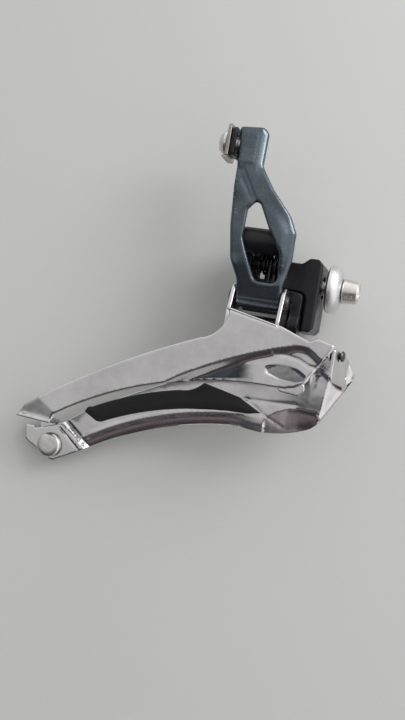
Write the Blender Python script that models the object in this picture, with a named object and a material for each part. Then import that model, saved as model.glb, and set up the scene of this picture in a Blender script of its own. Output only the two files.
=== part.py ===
"""Front derailleur for a double chainset, braze-on type, shown with its cage innermost.

Frame: +X is forwards, along the clamp bolt towards its head; +Y is inboard, towards the
seat tube; +Z is up.  The origin is on the clamp bolt's axis.  Every size below is in
millimetres; the meshes are written in metres.

The linkage is a parallelogram in the YZ plane: outer link from pivot A to pivot C, inner
link from pivot B to pivot D.  A and B are on the bracket, C and D on the cage.
"""
import bpy
import bmesh
from math import atan2, ceil, cos, hypot, pi, radians, sin
from mathutils import Matrix, Vector
from mathutils.geometry import delaunay_2d_cdt

MM = 0.001
GAP = 0.3                            # running and seating clearance

# ---- driving dimensions of the linkage, as (Y, Z) ------------------------------------
PIVOT_A = (-20.5, 10.0)              # bracket to outer link
LINK = (1.0, -18.0)                  # upper pivot to lower pivot, both links
SPREAD = (10.0, -6.0)                # outer link's pivots to the inner link's
PIVOT_B = (PIVOT_A[0] + SPREAD[0], PIVOT_A[1] + SPREAD[1])
PIVOT_C = (PIVOT_A[0] + LINK[0], PIVOT_A[1] + LINK[1])
PIVOT_D = (PIVOT_B[0] + LINK[0], PIVOT_B[1] + LINK[1])
SWING = 38.0                         # degrees from the inner to the outer chainring

PIN_R = 1.4                          # all four pivot pins
BUSH_IN = PIN_R + GAP
BUSH_OUT = 2.3
BORE = BUSH_OUT + GAP

# ---- stations along X ----------------------------------------------------------------
BARREL_A = (-25.7, -12.7)            # bracket barrel around pivot A
FLANGE_A = ((-27.4, -26.2), (-12.3, -11.1))
CHEEK_B = ((-26.0, -23.4), (-14.8, -12.2))
LINK_BARREL = ((-22.9, -20.5), (-16.3, -15.3))
COIL = (-20.1, -16.7)                # return spring's turns
BARREL_C = (-24.6, -10.5)            # outer link barrel around pivot C
EARS = ((-26.1, -24.9), (-10.2, -9.0))
LUGS_D = ((-28.6, -26.4), (-8.7, -5.4))

# ---- bracket -------------------------------------------------------------------------
BLOCK_HALF = 9.0                     # the block's half width along Y
BLOCK_FRONT = -0.9                   # clamp face
BARREL_A_R = 4.0
LINK_R = 3.4                         # inner link's barrels at B
EYE_R = 3.8                          # eyes around pivot D
ROOF = (7.9, 13.2)                   # web over the inner link, low and high Z
ROOF_END = -1.8                      # its inboard end
SCREW_OFFSET = 5.0                   # limit screws, from pivot B along Y
SCREW_X = -21.7
SCREW_R = 1.5
SCREW_TIP = 5.6

# ---- clamp bolt and support bolt -----------------------------------------------------
M5_R = 2.5
WASHER = (0.6, 5.4)                  # along X
WASHER_R = 8.0
SUPPORT_XZ = (-9.4, -8.8)
SUPPORT_TIP = 11.4

# ---- outer link ----------------------------------------------------------------------
ARM_T = 2.2                          # thickness of its skin
BARREL_C_R = 3.6
CABLE_YZ = (-22.0, 39.0)             # cable bolt's axis
ARM_FACE = ((-12.0, -21.2), (-8.0, -23.1), (-3.0, -24.6), (3.0, -26.2), (10.0, -26.9),
            (20.0, -26.6), (30.0, -26.0), (37.0, -25.7), (45.0, -25.5))   # (Z, front Y)

# ---- cage ----------------------------------------------------------------------------
SHEET_T = 1.0
OUTER_Y = -26.5                      # outer plate's outboard face
INNER_Y = -12.0                      # inner plate's outboard face
TAIL_XZ = (-81.4, -66.2)             # tail screw's axis
TAIL_FOLD = ((-84.6, -49.0), (-75.4, -54.6))        # crease of the outer plate's tail
JOGGLE = ((-73.0, -66.0), (-77.6, -58.4))           # step between the inner plate's tail and the rest
FLARE = ((6.2, -40.6), (7.4, -30.0))                # fold where its front bends inboard
PAD_STUDS = ((-61.0, -50.3), (-44.0, -43.6), (-26.0, -40.6))
BRIDGE_FACE = ((8.8, -25.2), (12.0, -10.4))         # front bridge's mid-plane, as (X, Y)
BRIDGE_RIVET = (10.03, -19.5, -21.7)
RIVET_R = 1.0

STEEL = ((0.60, 0.60, 0.61), 0.22, 1.0)
DARK_STEEL = ((0.42, 0.40, 0.38), 0.30, 1.0)
SPRING_STEEL = ((0.30, 0.30, 0.31), 0.35, 1.0)
ALLOY_WHITE = ((0.85, 0.85, 0.85), 0.30, 1.0)
BLACK_PAINT = ((0.010, 0.010, 0.012), 0.38, 0.0)
SLATE = ((0.075, 0.105, 0.120), 0.35, 0.6)
NYLON = ((0.022, 0.022, 0.024), 0.50, 0.0)
RESIN = ((0.012, 0.012, 0.013), 0.60, 0.0)


# ======================================================================================
# Points and outlines
# ======================================================================================
def spot(axis, along, u, v):
    """A point from its place along an axis and its two other coordinates, in X, Y, Z order."""
    return {"x": (along, u, v), "y": (u, along, v), "z": (u, v, along)}[axis]


def circle(centre, radius, steps, start=0.0, sweep=2 * pi):
    """Points on a circle, or on an arc with both of its ends."""
    closed = abs(sweep) >= 2 * pi
    count = steps if closed else steps + 1
    return [(centre[0] + radius * cos(start + sweep * i / steps),
             centre[1] + radius * sin(start + sweep * i / steps)) for i in range(count)]


def arc_to(start, middle, end, steps):
    """Points of the arc from start through middle to end, without start."""
    (ax, ay), (bx, by), (cx, cy) = start, middle, end
    d = 2 * (ax * (by - cy) + bx * (cy - ay) + cx * (ay - by))
    ux = ((ax * ax + ay * ay) * (by - cy) + (bx * bx + by * by) * (cy - ay)
          + (cx * cx + cy * cy) * (ay - by)) / d
    uy = ((ax * ax + ay * ay) * (cx - bx) + (bx * bx + by * by) * (ax - cx)
          + (cx * cx + cy * cy) * (bx - ax)) / d
    first, last = atan2(ay - uy, ax - ux), atan2(cy - uy, cx - ux)
    turn = last - first
    clockwise = (bx - ax) * (cy - ay) - (by - ay) * (cx - ax) < 0
    if clockwise and turn > 0:
        turn -= 2 * pi
    if not clockwise and turn < 0:
        turn += 2 * pi
    radius = hypot(ax - ux, ay - uy)
    return [(ux + radius * cos(first + turn * i / steps),
             uy + radius * sin(first + turn * i / steps)) for i in range(1, steps + 1)]


def path(*steps):
    """A polyline.  A step is a point, or (middle, end) for an arc; its length sets its points."""
    points = [steps[0]]
    for step in steps[1:]:
        if isinstance(step[0], tuple):
            span = hypot(step[1][0] - points[-1][0], step[1][1] - points[-1][1])
            points += arc_to(points[-1], step[0], step[1], max(3, ceil(span / 4.5)))
        else:
            points.append(step)
    return points


def rounded(corners, steps=4):
    """A closed outline whose corners (u, v, radius) are replaced by arcs."""
    outline = []
    for i, (u, v, radius) in enumerate(corners):
        here = Vector((u, v))
        before = Vector(corners[i - 1][:2]) - here
        after = Vector(corners[(i + 1) % len(corners)][:2]) - here
        half = before.angle(after) / 2
        if radius <= 0 or half > 1.5:
            outline.append((u, v))
            continue
        cut = min(radius * cos(half) / sin(half), before.length * 0.49, after.length * 0.49)
        bow = cut * sin(half) / cos(half)
        middle = (before.normalized() + after.normalized()).normalized()
        centre = here + middle * (bow / sin(half))
        start = here + before.normalized() * cut - centre
        end = here + after.normalized() * cut - centre
        first = atan2(start.y, start.x)
        turn = (atan2(end.y, end.x) - first + pi) % (2 * pi) - pi
        outline += circle(centre, bow, steps, first, turn)
    return outline


def hull(points):
    """Convex hull, counter-clockwise."""
    points = sorted(set(points))

    def half(sequence):
        chain = []
        for p in sequence:
            while len(chain) > 1 and ((chain[-1][0] - chain[-2][0]) * (p[1] - chain[-2][1])
                                      - (chain[-1][1] - chain[-2][1]) * (p[0] - chain[-2][0])) <= 1e-9:
                chain.pop()
            chain.append(p)
        return chain[:-1]

    return half(points) + half(points[::-1])


def inside(point, outline):
    """Whether a point is inside a closed outline."""
    x, y = point
    odd = False
    for (ax, ay), (bx, by) in zip(outline, outline[1:] + outline[:1]):
        if (ay > y) != (by > y) and x < ax + (y - ay) / (by - ay) * (bx - ax):
            odd = not odd
    return odd


def distance(point, line):
    """Distance from a point to an open polyline."""
    x, y = point
    best = 1e9
    for (ax, ay), (bx, by) in zip(line, line[1:]):
        dx, dy = bx - ax, by - ay
        t = max(0.0, min(1.0, ((x - ax) * dx + (y - ay) * dy) / (dx * dx + dy * dy + 1e-12)))
        best = min(best, hypot(x - ax - t * dx, y - ay - t * dy))
    return best


def smooth_step(t):
    t = max(0.0, min(1.0, t))
    return t * t * (3 - 2 * t)


def curve_value(stations, t):
    """A smooth curve (Catmull-Rom) through (t, value) stations."""
    last = len(stations) - 2
    i = max(0, min(last, sum(1 for s in stations if s[0] <= t) - 1))
    p0, p1 = stations[max(0, i - 1)], stations[i]
    p2, p3 = stations[i + 1], stations[min(last + 1, i + 2)]
    k = max(0.0, min(1.0, (t - p1[0]) / (p2[0] - p1[0])))
    m1 = (p2[1] - p0[1]) / (p2[0] - p0[0]) * (p2[0] - p1[0])
    m2 = (p3[1] - p1[1]) / (p3[0] - p1[0]) * (p2[0] - p1[0])
    return ((2 * k ** 3 - 3 * k * k + 1) * p1[1] + (k ** 3 - 2 * k * k + k) * m1
            + (3 * k * k - 2 * k ** 3) * p2[1] + (k ** 3 - k * k) * m2)


# ======================================================================================
# Solids, as bmesh in millimetres
# ======================================================================================
def prism(outline, axis, low, high):
    """An outline in the two other axes, extruded along axis."""
    bm = bmesh.new()
    ends = [[bm.verts.new(spot(axis, at, u, v)) for u, v in outline] for at in (low, high)]
    bm.faces.new(ends[0])
    bm.faces.new(ends[1])
    for i in range(len(outline)):
        j = (i + 1) % len(outline)
        bm.faces.new((ends[0][i], ends[0][j], ends[1][j], ends[1][i]))
    bmesh.ops.recalc_face_normals(bm, faces=bm.faces)
    return bm


def box(low, high):
    outline = [(low[1], low[2]), (high[1], low[2]), (high[1], high[2]), (low[1], high[2])]
    return prism(outline, "x", low[0], high[0])


def turned(profile, axis, centre=(0.0, 0.0), steps=28):
    """A closed profile of (along, radius) points, turned around an axis."""
    bm = bmesh.new()
    rings = []
    for along, radius in profile:
        if radius <= 0:
            rings.append([bm.verts.new(spot(axis, along, *centre))])
        else:
            rings.append([bm.verts.new(spot(axis, along, *p)) for p in circle(centre, radius, steps)])
    for one, two in zip(rings, rings[1:] + rings[:1]):
        if len(one) == 1 and len(two) == 1:
            continue
        for i in range(steps):
            j = (i + 1) % steps
            corners = [one[0], two[i], two[j]] if len(one) == 1 else \
                [one[i], two[0], one[j]] if len(two) == 1 else [one[i], two[i], two[j], one[j]]
            bm.faces.new(corners)
    bmesh.ops.recalc_face_normals(bm, faces=bm.faces)
    return bm


def rod(axis, low, high, radius, centre=(0.0, 0.0), steps=24, chamfer=0.0):
    c = chamfer
    ends = [(low, 0), (low, radius - c), (low + c, radius), (high - c, radius), (high, radius - c), (high, 0)]
    plain = [(low, 0), (low, radius), (high, radius), (high, 0)]
    return turned(ends if c else plain, axis, centre, steps)


def sleeve(axis, low, high, inner, outer, centre=(0.0, 0.0), steps=20):
    return turned([(low, inner), (low, outer), (high, outer), (high, inner)], axis, centre, steps)


def tube(points, radius, steps=8):
    """A round wire along a polyline."""
    points = [Vector(p) for p in points]
    bm = bmesh.new()
    rings, side = [], None
    for i, point in enumerate(points):
        along = (points[min(i + 1, len(points) - 1)] - points[max(i - 1, 0)]).normalized()
        side = (side or Vector((1, 0, 0))) - along * along.dot(side or Vector((1, 0, 0)))
        side.normalize()
        other = along.cross(side)
        rings.append([bm.verts.new(point + side * u + other * v) for u, v in circle((0, 0), radius, steps)])
    for one, two in zip(rings, rings[1:]):
        for i in range(steps):
            j = (i + 1) % steps
            bm.faces.new((one[i], one[j], two[j], two[i]))
    bm.faces.new(rings[0])
    bm.faces.new(rings[-1])
    bmesh.ops.triangulate(bm, faces=bm.faces)
    bmesh.ops.recalc_face_normals(bm, faces=bm.faces)
    return bm


def sheet(outline, surface, thickness=SHEET_T, holes=(), grid=3.2):
    """A pressed plate: an outline in XZ, its outboard face at y = surface(x, z)."""
    loops = [outline] + [list(hole) for hole in holes]
    points, edges = [], []
    for loop in loops:
        first = len(points)
        points += [Vector(p) for p in loop]
        edges += [(first + i, first + (i + 1) % len(loop)) for i in range(len(loop))]
    lows = [min(p[k] for p in outline) for k in (0, 1)]
    highs = [max(p[k] for p in outline) for k in (0, 1)]
    for i in range(ceil((highs[0] - lows[0]) / grid)):
        for j in range(ceil((highs[1] - lows[1]) / grid)):
            p = (lows[0] + (i + 0.5 * (j % 2) + 0.25) * grid, lows[1] + (j + 0.5) * grid)
            clear = all(distance(p, loop + loop[:1]) > grid * 0.45 for loop in loops)
            if clear and inside(p, outline) and not any(inside(p, hole) for hole in loops[1:]):
                points.append(Vector(p))
    flat, _, triangles = delaunay_2d_cdt(points, edges, [], 1, 1e-5)[:3]
    bm = bmesh.new()
    near = [bm.verts.new((p.x, surface(p.x, p.y), p.y)) for p in flat]
    far = [bm.verts.new((p.x, surface(p.x, p.y) + thickness, p.y)) for p in flat]
    used = {}
    for triangle in triangles:
        centre = sum((flat[k] for k in triangle), Vector((0, 0))) / 3
        if any(inside(centre, hole) for hole in loops[1:]) or not inside(centre, outline):
            continue
        bm.faces.new([near[k] for k in triangle])
        bm.faces.new([far[k] for k in reversed(triangle)])
        for a, b in zip(triangle, triangle[1:] + triangle[:1]):
            used[(a, b)] = True
    for a, b in used:
        if (b, a) not in used:
            bm.faces.new((near[b], near[a], far[a], far[b]))
    bmesh.ops.delete(bm, geom=[v for v in bm.verts if not v.link_faces], context="VERTS")
    bmesh.ops.recalc_face_normals(bm, faces=bm.faces)
    return bm


def temporary(bm):
    mesh = bpy.data.meshes.new("temporary")
    bm.to_mesh(mesh)
    bm.free()
    thing = bpy.data.objects.new("temporary", mesh)
    bpy.context.scene.collection.objects.link(thing)
    return thing


def boolean(operation, base, *tools):
    """The base with each tool joined to it or cut from it.  The inputs are used up."""
    for tool in tools:
        target, other = temporary(base), temporary(tool)
        modifier = target.modifiers.new("boolean", "BOOLEAN")
        modifier.operation = operation
        modifier.solver = "EXACT"
        modifier.object = other
        base = bmesh.new()
        base.from_object(target, bpy.context.evaluated_depsgraph_get())
        for thing in (target, other):
            bpy.data.objects.remove(thing)
    bmesh.ops.dissolve_degenerate(base, edges=base.edges, dist=0.0005)
    return base


def join(base, *tools):
    return boolean("UNION", base, *tools)


def cut(base, *tools):
    return boolean("DIFFERENCE", base, *tools)


# ======================================================================================
# Objects
# ======================================================================================
def material(name, look):
    colour, roughness, metallic = look
    mat = bpy.data.materials.new(name)
    mat.use_nodes = True
    shader = mat.node_tree.nodes["Principled BSDF"]
    shader.inputs["Base Color"].default_value = (*colour, 1.0)
    shader.inputs["Roughness"].default_value = roughness
    shader.inputs["Metallic"].default_value = metallic
    return mat


def piece(name, bm, look, origin=(0.0, 0.0, 0.0)):
    """Turn a bmesh in millimetres into a named object with its origin at a joint's axis."""
    bmesh.ops.translate(bm, verts=bm.verts, vec=[-v for v in origin])
    bmesh.ops.scale(bm, verts=bm.verts, vec=(MM, MM, MM))
    mesh = bpy.data.meshes.new(name)
    bm.to_mesh(mesh)
    bm.free()
    mesh.shade_smooth()
    mesh.set_sharp_from_angle(angle=radians(32))
    mesh.materials.append(material(name, look))
    thing = bpy.data.objects.new(name, mesh)
    thing.location = [v * MM for v in origin]
    bpy.context.scene.collection.objects.link(thing)
    return thing


def pin(name, centre, low, high, head_low, head_high):
    """A pivot pin with a set head at each end."""
    ends = [(low - 0.7, 0), (low - 0.7, head_low - 0.3), (low - 0.4, head_low), (low, head_low), (low, PIN_R),
            (high, PIN_R), (high, head_high), (high + 0.4, head_high), (high + 0.7, head_high - 0.3), (high + 0.7, 0)]
    return piece(name, turned(ends, "x", centre, 20), STEEL, (0, *centre))


def bush(name, centre, low, high):
    return piece(name, sleeve("x", low, high, BUSH_IN, BUSH_OUT, centre), NYLON, (0, *centre))


# ---- bracket and what stays with it --------------------------------------------------
def bracket_body():
    profile = rounded([(-14.0, 6.2, 0.6), (-7.5, 6.2, 1.5), (-5.2, 8.2, 1.5), (-2.4, 8.2, 1.0),
                       (BLOCK_FRONT, 6.6, 0.6), (BLOCK_FRONT, -14.0, 0.8), (-2.2, -15.5, 0.5),
                       (-6.2, -15.5, 0.8), (-14.0, -12.0, 2.0)])
    plan = [(-14.0, -BLOCK_HALF), (-1.6, -BLOCK_HALF), (BLOCK_FRONT, -8.3), (BLOCK_FRONT, 8.3),
            (-1.6, BLOCK_HALF), (-14.0, BLOCK_HALF)]
    block = boolean("INTERSECT", prism(profile, "y", -BLOCK_HALF, BLOCK_HALF), prism(plan, "z", -20, 12))
    boss = circle(PIVOT_B, 3.6, 10, pi, pi)
    cheek = [(PIVOT_B[0] - 3.6, ROOF[1])] + boss + [(ROOF_END, PIVOT_B[1] + 1.5), (ROOF_END, ROOF[1])]
    roof = [(PIVOT_A[0], ROOF[0]), (ROOF_END, ROOF[0]), (ROOF_END, ROOF[1]), (PIVOT_A[0], ROOF[1])]
    body = join(block,
                prism(cheek, "x", *CHEEK_B[1]),
                prism(cheek, "x", *CHEEK_B[0]),
                box((COIL[0] + 0.2, -5.8, -1.5), (CHEEK_B[1][1] - 0.2, -3.2, 5.6)),
                prism(roof, "x", CHEEK_B[0][0] + 0.4, CHEEK_B[1][0] + 0.9),
                rod("x", *BARREL_A, BARREL_A_R, PIVOT_A, 28, 0.4))
    lug_recess = rounded([(-14.8, -17.5, 0), (-4.9, -17.5, 0), (-4.9, -2.9, 2.6), (-14.8, -2.9, 0)])
    washer_seat = BLOCK_FRONT - 0.7
    body = cut(body,
               prism(lug_recess, "y", -10.0, PIVOT_D[0] + EYE_R + 0.5),
               rod("x", -30, -5, BORE, PIVOT_A, 20),
               rod("x", -30, CHEEK_B[1][1] - 0.8, BUSH_IN, PIVOT_B, 20),
               rod("x", -10.2, 3, M5_R + GAP, (0, 0), 20),
               rod("x", washer_seat, 3, M5_R + 1.4, (0, 0), 24),
               rod("y", -12, 12, M5_R + GAP, SUPPORT_XZ, 20),
               rod("z", ROOF[1] - 2.0, 20, 3.1, (SCREW_X, PIVOT_B[0] - SCREW_OFFSET)),
               rod("z", ROOF[1] - 2.0, 20, 3.1, (SCREW_X, PIVOT_B[0] + SCREW_OFFSET)),
               rod("z", 0, 20, SCREW_R + GAP, (SCREW_X, PIVOT_B[0] - SCREW_OFFSET), 16),
               rod("z", 0, 20, SCREW_R + GAP, (SCREW_X, PIVOT_B[0] + SCREW_OFFSET), 16),
               box((-24.9, -17.3, 7.6), (-18.3, -3.7, 9.3)))
    piece("bracket_body", body, BLACK_PAINT)


def limit_screw(name, y):
    """A cross-recess adjusting screw that stands through the roof above the inner link's stop."""
    head = ROOF[1] - 2.0 + GAP
    profile = [(SCREW_TIP, 0), (SCREW_TIP, 0.9), (SCREW_TIP + 0.6, SCREW_R), (head, SCREW_R), (head, 2.7),
               (head + 1.7, 2.7), (head + 2.2, 2.0), (head + 2.2, 0)]
    screw = turned(profile, "z", (SCREW_X, y), 20)
    top = head + 1.0
    screw = cut(screw, box((SCREW_X - 1.6, y - 0.4, top), (SCREW_X + 1.6, y + 0.4, top + 3)),
                box((SCREW_X - 0.4, y - 1.6, top), (SCREW_X + 0.4, y + 1.6, top + 3)))
    piece(name, screw, DARK_STEEL, (SCREW_X, y, 0))


def limit_screw_plate():
    """The nylon plate under the roof that keeps both limit screws from turning by themselves."""
    plate = box((-24.6, -17.0, 7.9), (-18.6, -4.0, 9.0))
    holes = [rod("z", 5, 12, SCREW_R + GAP, (SCREW_X, PIVOT_B[0] + side * SCREW_OFFSET), 16)
             for side in (-1, 1)]
    piece("limit_screw_plate", cut(plate, *holes), NYLON)


def support_bolt():
    """The set screw that bears against the seat tube."""
    x, z = SUPPORT_XZ
    body = rod("y", -5.0, SUPPORT_TIP, M5_R, SUPPORT_XZ, 20, 0.5)
    socket = prism(circle(SUPPORT_XZ, 1.3, 6), "y", -8, -2.6)
    piece("support_bolt", cut(body, socket), DARK_STEEL, (x, 0, z))


def hex_bolt(low, high, radius, socket, socket_depth, axis_yz, shank_to, towards):
    """A socket-head bolt along X.  towards is +1 if its head's outer face looks forwards."""
    face, back = (high, low) if towards > 0 else (low, high)
    profile = [(face, 0), (face, radius - 1.0), (face - towards * 0.5, radius - 0.6), (back, radius),
               (back, M5_R), (shank_to + towards * 0.5, M5_R), (shank_to, M5_R - 0.5), (shank_to, 0)]
    bolt = turned(profile, "x", axis_yz, 28)
    recess = sorted((face + towards, face - towards * socket_depth))
    return cut(bolt, prism(circle(axis_yz, socket, 6), "x", *recess))


def clamp_hardware():
    hole = M5_R + GAP
    low, high = WASHER
    rim = low + 0.9
    cap = [(rim + (high - rim) * u, WASHER_R * (0.45 + 0.55 * v))
           for u, v in circle((0, 0), 1.0, 7, pi / 2, -pi / 2)]
    dome = [(low, hole), (low, WASHER_R - 1.2), (low + 0.7, WASHER_R)] + cap + [(high, hole)]
    piece("clamp_washer", turned(dome, "x", (0, 0), 40), ALLOY_WHITE)
    piece("clamp_bolt", hex_bolt(high + GAP, high + 5.5, 4.2, 2.35, 3.0, (0, 0), -9.6, 1), STEEL)


def return_spring():
    """A torsion spring around pivot B: one leg under the roof, one on the inner link."""
    wire, radius, turns = 0.45, 2.95, 2.25
    by, bz = PIVOT_B
    first, last = COIL[0] + wire, COIL[1] - wire
    points = [(first, ROOF_END - 1.2, bz + radius), (first, by + 3.0, bz + radius)]
    steps = int(turns * 14)
    for i in range(steps + 1):
        angle = pi / 2 + 2 * pi * turns * i / steps
        points.append((first + (last - first) * i / steps,
                       by + radius * cos(angle), bz + radius * sin(angle)))
    points += [(last, by - radius, bz - 3.0), (last, by - radius + 0.15, bz - 8.5)]
    piece("return_spring", tube(points, wire), SPRING_STEEL, (0, by, bz))


# ---- outer link ----------------------------------------------------------------------
def arm_face(x, z):
    return curve_value(ARM_FACE, z)


def outer_link_arm():
    outline = rounded([(-31.6, 44.4, 1.2), (-23.6, 44.8, 2.0), (-22.3, 43.0, 1.0), (-22.3, 32.6, 3.0),
                       (-17.5, 25.6, 6.0), (-11.0, 18.2, 5.0), (-8.5, 13.2, 3.0), (-8.5, 5.6, 4.0),
                       (-10.3, -3.0, 3.0), (-10.5, -8.4, 0), (-24.6, -8.4, 0), (-25.0, -3.0, 3.0),
                       (-28.0, 3.4, 6.0), (-29.6, 13.6, 8.0), (-30.2, 20.6, 8.0), (-30.4, 31.0, 6.0)])
    window = rounded([(-22.4, 21.4, 2.0), (-24.6, 18.6, 1.5), (-24.7, 9.6, 2.0), (-19.4, -2.8, 2.4),
                      (-12.3, -2.9, 2.0), (-12.4, 6.2, 3.0), (-16.9, 13.2, 6.0), (-20.8, 20.6, 2.0)])
    skin = sheet(outline, arm_face, ARM_T, [window], 4.0)
    flange = hull(circle(PIVOT_A, 4.2, 16) + [(-25.6, 15.0), (-25.3, 2.5)])
    head_back = CABLE_YZ[0] + 3.6
    head_z = (CABLE_YZ[1] - 5.6, 44.2)
    head = rounded([(-24.6, head_z[0], 0), (head_back, head_z[0] + 1.5, 1.2),
                    (head_back, head_z[1] - 0.6, 1.2), (-24.6, head_z[1], 0)])
    arm = join(skin,
               prism(head, "x", -31.2, -24.1),
               prism(flange, "x", *FLANGE_A[0]),
               prism(flange, "x", *FLANGE_A[1]),
               rod("x", *BARREL_C, BARREL_C_R, PIVOT_C, 28, 0.4))
    arm = cut(arm,
              rod("x", -40, -5, BUSH_IN, PIVOT_A, 20),
              rod("x", -40, -5, BORE, PIVOT_C, 20),
              rod("x", -35, -24.2, M5_R + GAP, CABLE_YZ, 20))
    piece("outer_link_arm", arm, SLATE, (0, *PIVOT_A))


def cable_hardware():
    y, z = CABLE_YZ
    hole = M5_R + GAP
    bolt = hex_bolt(-37.4, -35.7, 3.8, 2.35, 2.6, CABLE_YZ, -24.6, -1)
    flange = sleeve("x", -35.9, -34.9, M5_R - 0.2, 4.3, CABLE_YZ, 28)
    piece("cable_bolt", join(bolt, flange), DARK_STEEL, (0, y, z))
    low_x, high_x = -34.6, -33.5
    outline = rounded([(y - 5.2, z - 4.8, 0.6), (y + 4.2, z - 4.8, 0.6), (y + 4.2, z + 5.4, 1.5),
                       (y - 5.2, z + 5.4, 1.5)])
    lip = box((low_x - 0.9, y - 5.0, z - 5.4), (high_x, y + 4.0, z - 4.6))
    plate = join(prism(outline, "x", low_x, high_x), lip)
    piece("cable_plate", cut(plate, rod("x", -40, -30, hole, CABLE_YZ, 20)), DARK_STEEL, (0, y, z))
    seat = rounded([(y - 4.6, z - 4.2, 0.8), (y + 3.6, z - 4.2, 0.8), (y + 3.6, z + 4.8, 2.0),
                    (y - 4.6, z + 4.8, 2.0)])
    seat = cut(prism(seat, "x", high_x + GAP, -31.9), rod("x", -40, -30, hole, CABLE_YZ, 20))
    piece("cable_converter", seat, BLACK_PAINT, (0, y, z))


# ---- inner link ----------------------------------------------------------------------
def stop_lug(angle):
    """A lug on the inner link's barrel, turned about pivot B from pointing straight outboard."""
    c, s = cos(radians(angle)), sin(radians(angle))
    reach, half = SCREW_OFFSET + 1.6, 1.3
    corners = [(-2.6, -half), (-reach, -half), (-reach, half), (-2.6, half)]
    outline = [(PIVOT_B[0] + u * c - v * s, PIVOT_B[1] + u * s + v * c) for u, v in corners]
    return prism(outline, "x", SCREW_X - 1.15, SCREW_X + 1.15)


def inner_link():
    (first, coil_left), (coil_right, last) = LINK_BARREL
    left, right = LUGS_D
    bridge = PIVOT_D[1] + 7.6
    apron = PIVOT_D[1] + PIN_R + 0.9
    front = rounded([(first, PIVOT_B[1], 0), (coil_left, PIVOT_B[1], 0), (coil_left, -0.8, 0.8),
                     (coil_right, -0.8, 0.8), (coil_right, PIVOT_B[1], 0), (last, PIVOT_B[1], 0),
                     (last, -2.8, 1.0), (right[1], -3.8, 1.5), (right[1], PIVOT_D[1], 0), (right[0], PIVOT_D[1], 0),
                     (right[0], bridge, 0.6), (EARS[1][0] - 0.6, bridge, 0.6), (EARS[1][0] - 0.6, apron, 0.8),
                     (EARS[0][1] + 0.6, apron, 0.8), (EARS[0][1] + 0.6, bridge, 0.6), (left[1], bridge, 0.6),
                     (left[1], PIVOT_D[1], 0),
                     (left[0], PIVOT_D[1], 0), (left[0], -5.4, 2.0), (first, -2.8, 2.0)])
    plate = (PIVOT_B[0] - 1.8, PIVOT_B[0] + 1.0)
    link = join(prism(front, "y", *plate),
                rod("x", first, coil_left, LINK_R, PIVOT_B, 24),
                rod("x", coil_right, last, LINK_R, PIVOT_B, 24),
                rod("x", *left, EYE_R, PIVOT_D, 24),
                rod("x", *right, EYE_R, PIVOT_D, 24),
                stop_lug(SWING), stop_lug(180))
    link = cut(link,
               rod("x", -40, -18, BORE, PIVOT_B, 20),
               rod("x", -18.5, 0, BUSH_IN, PIVOT_B, 20),
               rod("x", -40, LUGS_D[1][1] - 0.9, BORE, PIVOT_D, 20))
    piece("inner_link", link, BLACK_PAINT, (0, *PIVOT_B))


# ---- cage ----------------------------------------------------------------------------
# Lines that the pressed features follow, in XZ: the outer plate's step and the inner plate's rolled rim.
GROOVE = path((-43.5, -39.6), ((-24.0, -28.7), (-4.0, -21.3)), ((-0.5, -20.7), (2.5, -21.6)), (6.6, -24.6))
INNER_RIM = path((-71.5, -66.8), ((-40.0, -52.3), (-18.6, -48.6)), ((-7.0, -48.9), (3.4, -45.6)))


def outer_surface(x, z):
    """Outboard face of the outer plate: the lower front is pressed in behind a curved step."""
    along = (x - GROOVE[0][0]) / (GROOVE[-1][0] - GROOVE[0][0])
    below = any(z < az + (bz - az) * (x - ax) / (bx - ax + 1e-9)
                for (ax, az), (bx, bz) in zip(GROOVE, GROOVE[1:]) if ax <= x < bx)
    far = distance((x, z), GROOVE)
    step = smooth_step(far / 2.2) if below and 0 < along < 1 else 0.0
    (ax, az), (bx, bz) = TAIL_FOLD
    beyond = ((bx - ax) * (z - az) - (bz - az) * (x - ax)) / hypot(bx - ax, bz - az)
    return OUTER_Y + 1.2 * step + 0.22 * max(0.0, -beyond)


def along_bridge(offset, thickness, start, end, side):
    """A strip parallel to the front bridge, offset to its front, as a prism cut to a side view in YZ."""
    (x0, y0), (x1, y1) = BRIDGE_FACE
    slope = (x1 - x0) / (y1 - y0)
    plan = [(x0 + (y - y0) * slope + offset + edge, y) for y, edge in
            ((start, -thickness / 2), (start, thickness / 2), (end, thickness / 2), (end, -thickness / 2))]
    return boolean("INTERSECT", prism(plan, "z", -45, 0), prism(side, "x", 0, 20))


def on_bridge(bm):
    """Turn a solid of revolution made along X so that it stands square to the bridge, at the rivet."""
    (x0, y0), (x1, y1) = BRIDGE_FACE
    turn = Matrix.Rotation(-atan2(x1 - x0, y1 - y0), 3, "Z")
    bmesh.ops.rotate(bm, verts=bm.verts, cent=(0, 0, 0), matrix=turn)
    bmesh.ops.translate(bm, verts=bm.verts, vec=BRIDGE_RIVET)
    return bm


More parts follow.
